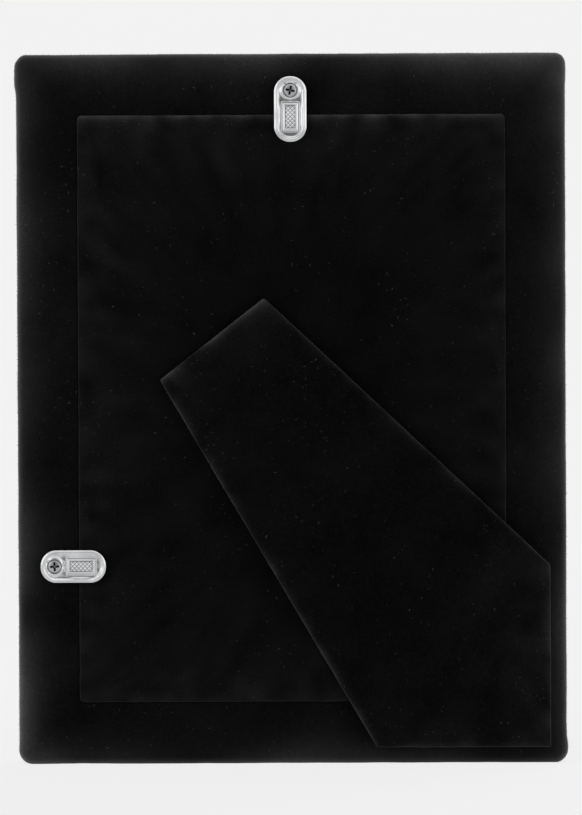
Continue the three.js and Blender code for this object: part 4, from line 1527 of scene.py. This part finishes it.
@dataclass
class Fibres:
    """Loose fibres that grow from or lie on velvet, spread by a node tree. Sizes in millimetres."""

    habit: Habit
    weight: Raised  # value that says how thickly they come
    finish: Finish
    per_cm2: float  # how many come where that value is 1
    length: float  # of the longest
    radius: float  # of the thickest
    seed: int
    tilt: float  # in radians
    least: float  # size of the smallest, as a share
    rarity: float  # how much rarer the large ones are
    bow: float = 0.45  # sideways, as a share of a lying fibre's length
    lift: Pair = (0.03, 0.12)  # height of a lying fibre's ends and middle
    size_seed: int = 7

    def tree(self) -> Tree:
        """Build the tree that spreads the fibres.

        Returns:
            A tree with named inputs for the sizes and the seed.
        """
        tree = bpy.data.node_groups.new(self.habit.value, "GeometryNodeTree")
        for label, way, kind in (
            ("Geometry", "INPUT", "NodeSocketGeometry"),
            ("Fibres per square metre", "INPUT", "NodeSocketFloat"),
            ("Fibre length", "INPUT", "NodeSocketFloat"),
            ("Fibre radius", "INPUT", "NodeSocketFloat"),
            ("Seed", "INPUT", "NodeSocketInt"),
            ("Geometry", "OUTPUT", "NodeSocketGeometry"),
        ):
            tree.interface.new_socket(label, in_out=way, socket_type=kind)
        given = add_node(tree, "NodeGroupInput", None).outputs
        weight = add_node(tree, "GeometryNodeInputNamedAttribute", "Attribute", data_type="FLOAT",
                          Name=self.weight.value)
        density = add_node(tree, "Math", operation="MULTIPLY", Value=given["Fibres per square metre"],
                           Value_001=weight)
        spread = add_node(tree, "GeometryNodeDistributePointsOnFaces", None, distribute_method="RANDOM",
                          Mesh=given["Geometry"], Density=density, Seed=given["Seed"]).outputs
        sway = add_node(tree, "FunctionNodeRandomValue", "Value", data_type="FLOAT_VECTOR",
                        Min=(-self.tilt, -self.tilt, -math.pi), Max=(self.tilt, self.tilt, math.pi),
                        Seed=given["Seed"])
        lean = add_node(tree, "FunctionNodeEulerToRotation", Euler=sway)
        swayed = add_node(tree, "FunctionNodeRotateRotation", rotation_space="LOCAL",
                          Rotation=spread["Rotation"], Rotate_By=lean)
        chance = add_node(tree, "FunctionNodeRandomValue", 1, data_type="FLOAT", Min_001=0.0, Max_001=1.0,
                          Seed=self.size_seed)
        rare = add_node(tree, "Math", operation="POWER", Value=chance, Value_001=self.rarity)
        size = add_node(tree, "MapRange", Value=rare, To=(self.least, 1.0))
        fibre = self.fibre(tree, given)
        laid = add_node(tree, "GeometryNodeInstanceOnPoints", Points=spread["Points"], Instance=fibre,
                        Rotation=swayed, Scale=size)
        real = add_node(tree, "GeometryNodeRealizeInstances", Geometry=laid)
        done = add_node(tree, "GeometryNodeSetMaterial", Geometry=real, Material=self.finish.material())
        add_node(tree, "NodeGroupOutput", None, Geometry=done)
        return tree

    def fibre(self, tree: Tree, given: Any) -> Socket:
        """Add the nodes of one fibre: a pointed pile end, or a bent thread that lies on the cloth.

        Args:
            tree: Tree that gets the nodes.
            given: Outputs of the tree's input node.

        Returns:
            The fibre's mesh.
        """
        length, radius = given["Fibre length"], given["Fibre radius"]
        if self.habit is Habit.STANDING:
            return add_node(tree, "GeometryNodeMeshCone", "Mesh", fill_type="NONE", Vertices=3,
                            Radius_Top=0.0, Radius_Bottom=radius, Depth=length)
        low, high = (rise * MM for rise in self.lift)
        knots = []
        for axis, share, rise in (("X", -0.5, low), ("Y", self.bow, high), ("X", 0.5, low)):
            move = add_node(tree, "Math", operation="MULTIPLY", Value=length, Value_001=share)
            knots.append(add_node(tree, "CombineXYZ", **{axis: move}, Z=rise))
        thread = add_node(tree, "GeometryNodeCurveQuadraticBezier", Resolution=4, Start=knots[0],
                          Middle=knots[1], End=knots[2])
        section = add_node(tree, "GeometryNodeCurvePrimitiveCircle", Resolution=4, Radius=radius)
        return add_node(tree, "GeometryNodeCurveToMesh", Curve=thread, Profile_Curve=section,
                        Fill_Caps=True)

    def build(self, name: str, ground: Skin, part: Part) -> None:
        """Spread the fibres over cloth and keep them as a plain mesh.

        Args:
            name: Name of the piece.
            ground: Cloth that carries them.
            part: Body that they ride on.
        """
        carrier = ground.piece(f"{name}_ground", VELVET)
        modifier = carrier.modifiers.new("fibres", "NODES")
        modifier.node_group = self.tree()
        inputs = {
            "Fibres per square metre": self.per_cm2 * CM2_IN_M2,
            "Fibre length": self.length * MM,
            "Fibre radius": self.radius * MM,
            "Seed": self.seed,
        }
        for item in modifier.node_group.interface.items_tree:
            if item.in_out == "INPUT" and item.name in inputs:
                modifier[item.identifier] = inputs[item.name]
        carrier.update_tag()
        evaluated = carrier.evaluated_get(bpy.context.evaluated_depsgraph_get())
        mesh = bpy.data.meshes.new_from_object(evaluated)
        carrier.modifiers.remove(modifier)
        bpy.data.objects.remove(carrier)
        fit(stand(name, mesh), part, Slot.VELVET)


# Studio


@dataclass(frozen=True)
class Lamp:
    """A soft lamp that faces the frame. Lengths in metres."""

    side: str  # of the frame, that it lights
    place: Triple
    size: Pair
    power: float  # in watts
    shine: float  # share of the power that metal mirrors without clipping

    def hang(self, target: Vector) -> None:
        """Hang the lamp as a part that metal mirrors and a fill that it doesn't.

        Args:
            target: Point that it faces.
        """
        aim = (target - Vector(self.place)).to_track_quat("-Z", "Y").to_euler()
        for kind, share, seen in (("softbox", self.shine, True), ("fill", 1 - self.shine, False)):
            light = bpy.data.lights.new(f"{self.side}_{kind}", "AREA")
            light.shape = "RECTANGLE"
            light.size, light.size_y = self.size
            light.energy = self.power * share
            lamp = stand(light.name, light)
            lamp.location = self.place
            lamp.rotation_euler = aim
            lamp.visible_camera = False
            lamp.visible_glossy = seen


@dataclass
class Studio:
    """Pale floor, soft lamps, world and camera. Lengths in metres, image sizes in pixels."""

    pale: str = "#F2F2F2"
    dim: str = "#909090"
    dim_reach: Pair = (0.35, 0.75)  # of the dim end behind the camera, across and up
    dim_edge: Pair = (0.45, 1.15)
    ambient: float = 0.24  # strength of the soft light from all around
    floor_size: float = 8.0
    target: Triple = (0.0, -0.0023, 0.110)
    distance: float = 1.2
    turns: Triple = (0.397, 0.973, -0.251)  # yaw, pitch and roll, in degrees
    focal: float = 3869.0  # in pixels, like the next two
    long_side: float = 815.0
    shift: Pair = (-0.65, 1.40)
    sensor: float = 36.0
    lamps: tuple[Lamp, ...] = (
        Lamp("left", (-1.1, -0.75, 0.35), (0.7, 1.2), 12.0, 0.135),
        Lamp("right", (1.1, -0.75, 0.35), (0.7, 1.2), 10.0, 0.16),
        Lamp("top", (0.0, -0.7, 1.3), (2.4, 0.7), 9.0, 0.175),
        Lamp("overhead", (0.0, -0.05, 1.6), (1.2, 1.2), 9.0, 0.2),
        Lamp("front", (0.5, 1.2, 0.9), (1.4, 1.4), 26.0, 0.1),
    )

    def world(self) -> None:
        """Light the scene softly from all around, with a pale view behind everything.

        Metal also sees the dimmer ends of the studio, between the lamps.
        """
        world = bpy.data.worlds.new("studio")
        world.use_nodes = True
        tree = world.node_tree
        tree.nodes.clear()
        soft = add_node(tree, "Background", Color=linear(WHITE), Strength=self.ambient)
        way = add_node(tree, "TexCoord", "Generated")
        across = add_node(tree, "VectorMath", "Vector", operation="MULTIPLY", Vector=way,
                          Vector_001=(1 / self.dim_reach[0], 0.0, 1 / self.dim_reach[1]))
        off_axis = add_node(tree, "VectorMath", "Value", operation="LENGTH", Vector=across)
        toward = add_node(tree, "MapRange", interpolation_type="SMOOTHSTEP", Value=off_axis,
                          From=self.dim_edge, To=(1.0, 0.0))
        gloss = add_node(tree, "LightPath", "Is Glossy Ray")
        dimmed = add_node(tree, "Math", operation="MULTIPLY", Value=toward, Value_001=gloss)
        view = add_node(tree, "Mix", 2, data_type="RGBA", Factor_Float=dimmed, A_Color=linear(self.pale),
                        B_Color=linear(self.dim))
        shown = add_node(tree, "Background", Color=view, Strength=1.0)
        mixed = add_node(tree, "MixShader", Fac=seen_plain(tree, 1.0), Shader=soft, Shader_001=shown)
        add_node(tree, "OutputWorld", None, Surface=mixed)
        bpy.context.scene.world = world

    def floor(self) -> None:
        """Lay the pale floor."""
        mesh = bpy.data.meshes.new("floor")
        corners = Outline.rectangle(self.floor_size, self.floor_size)
        mesh.from_pydata([(x, y, 0) for x, y in corners], [], [(0, 1, 2, 3)])
        mesh.materials.append(FLOOR.material())
        stand("floor", mesh)

    def camera(self) -> None:
        """Set the camera where the picture was taken from."""
        yaw, pitch, roll = (math.radians(turn) for turn in self.turns)
        aim = Matrix.Rotation(yaw, 4, "Z") @ Matrix.Rotation(math.pi / 2 - pitch, 4, "X")
        aim @= Matrix.Rotation(roll, 4, "Z")
        data = bpy.data.cameras.new("camera")
        data.sensor_width = self.sensor
        data.lens = self.focal / self.long_side * self.sensor
        data.shift_x, data.shift_y = (v / self.long_side for v in self.shift)
        aim.translation = Vector(self.target) + aim.col[2].to_3d() * self.distance
        camera = stand("camera", data)
        camera.matrix_world = aim
        bpy.context.scene.camera = camera

    def build(self) -> None:
        """Set up camera, light and floor."""
        self.camera()
        self.world()
        self.floor()
        for lamp in self.lamps:
            lamp.hang(Vector(self.target))
        bpy.context.scene.view_settings.view_transform = "Standard"
        LOG.info("studio: camera, floor and %d lamps", len(self.lamps))


def main() -> None:
    """Build the frame's looks in order."""
    logging.basicConfig(level=logging.INFO, format="%(message)s")
    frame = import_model()
    nodes = frame["nodes"]
    Studio().build()
    body = Body().build(nodes)
    panel = BackPanel().build(nodes)
    strut = Strut().build(nodes)
    TurnButton("top", Part.TOP_BUTTON, pivot=(0.0, 98.4), turn=0.0, cross_turn=-12.0).build()
    TurnButton("left", Part.LEFT_BUTTON, pivot=(-73.5, -48.4), turn=90.0, cross_turn=3.0).build()
    pile = Fibres(
        Habit.STANDING, Raised.PILE, PILE_ENDS, per_cm2=180.0, length=0.55, radius=0.035, seed=11,
        tilt=0.5, least=0.45, rarity=1.0,
    )
    lint = Fibres(
        Habit.LYING, Raised.SHOW, LINT, per_cm2=10.0, length=0.8, radius=0.036, seed=23,
        tilt=0.12, least=0.3, rarity=3.0,
    )
    for name, fibres in (("pile", pile), ("lint", lint)):
        fibres.build(f"frame_{name}", body.joined(panel), Part.FRAME)
        fibres.build(f"strut_{name}", strut, Part.STRUT)


if __name__ == "__main__":
    main()
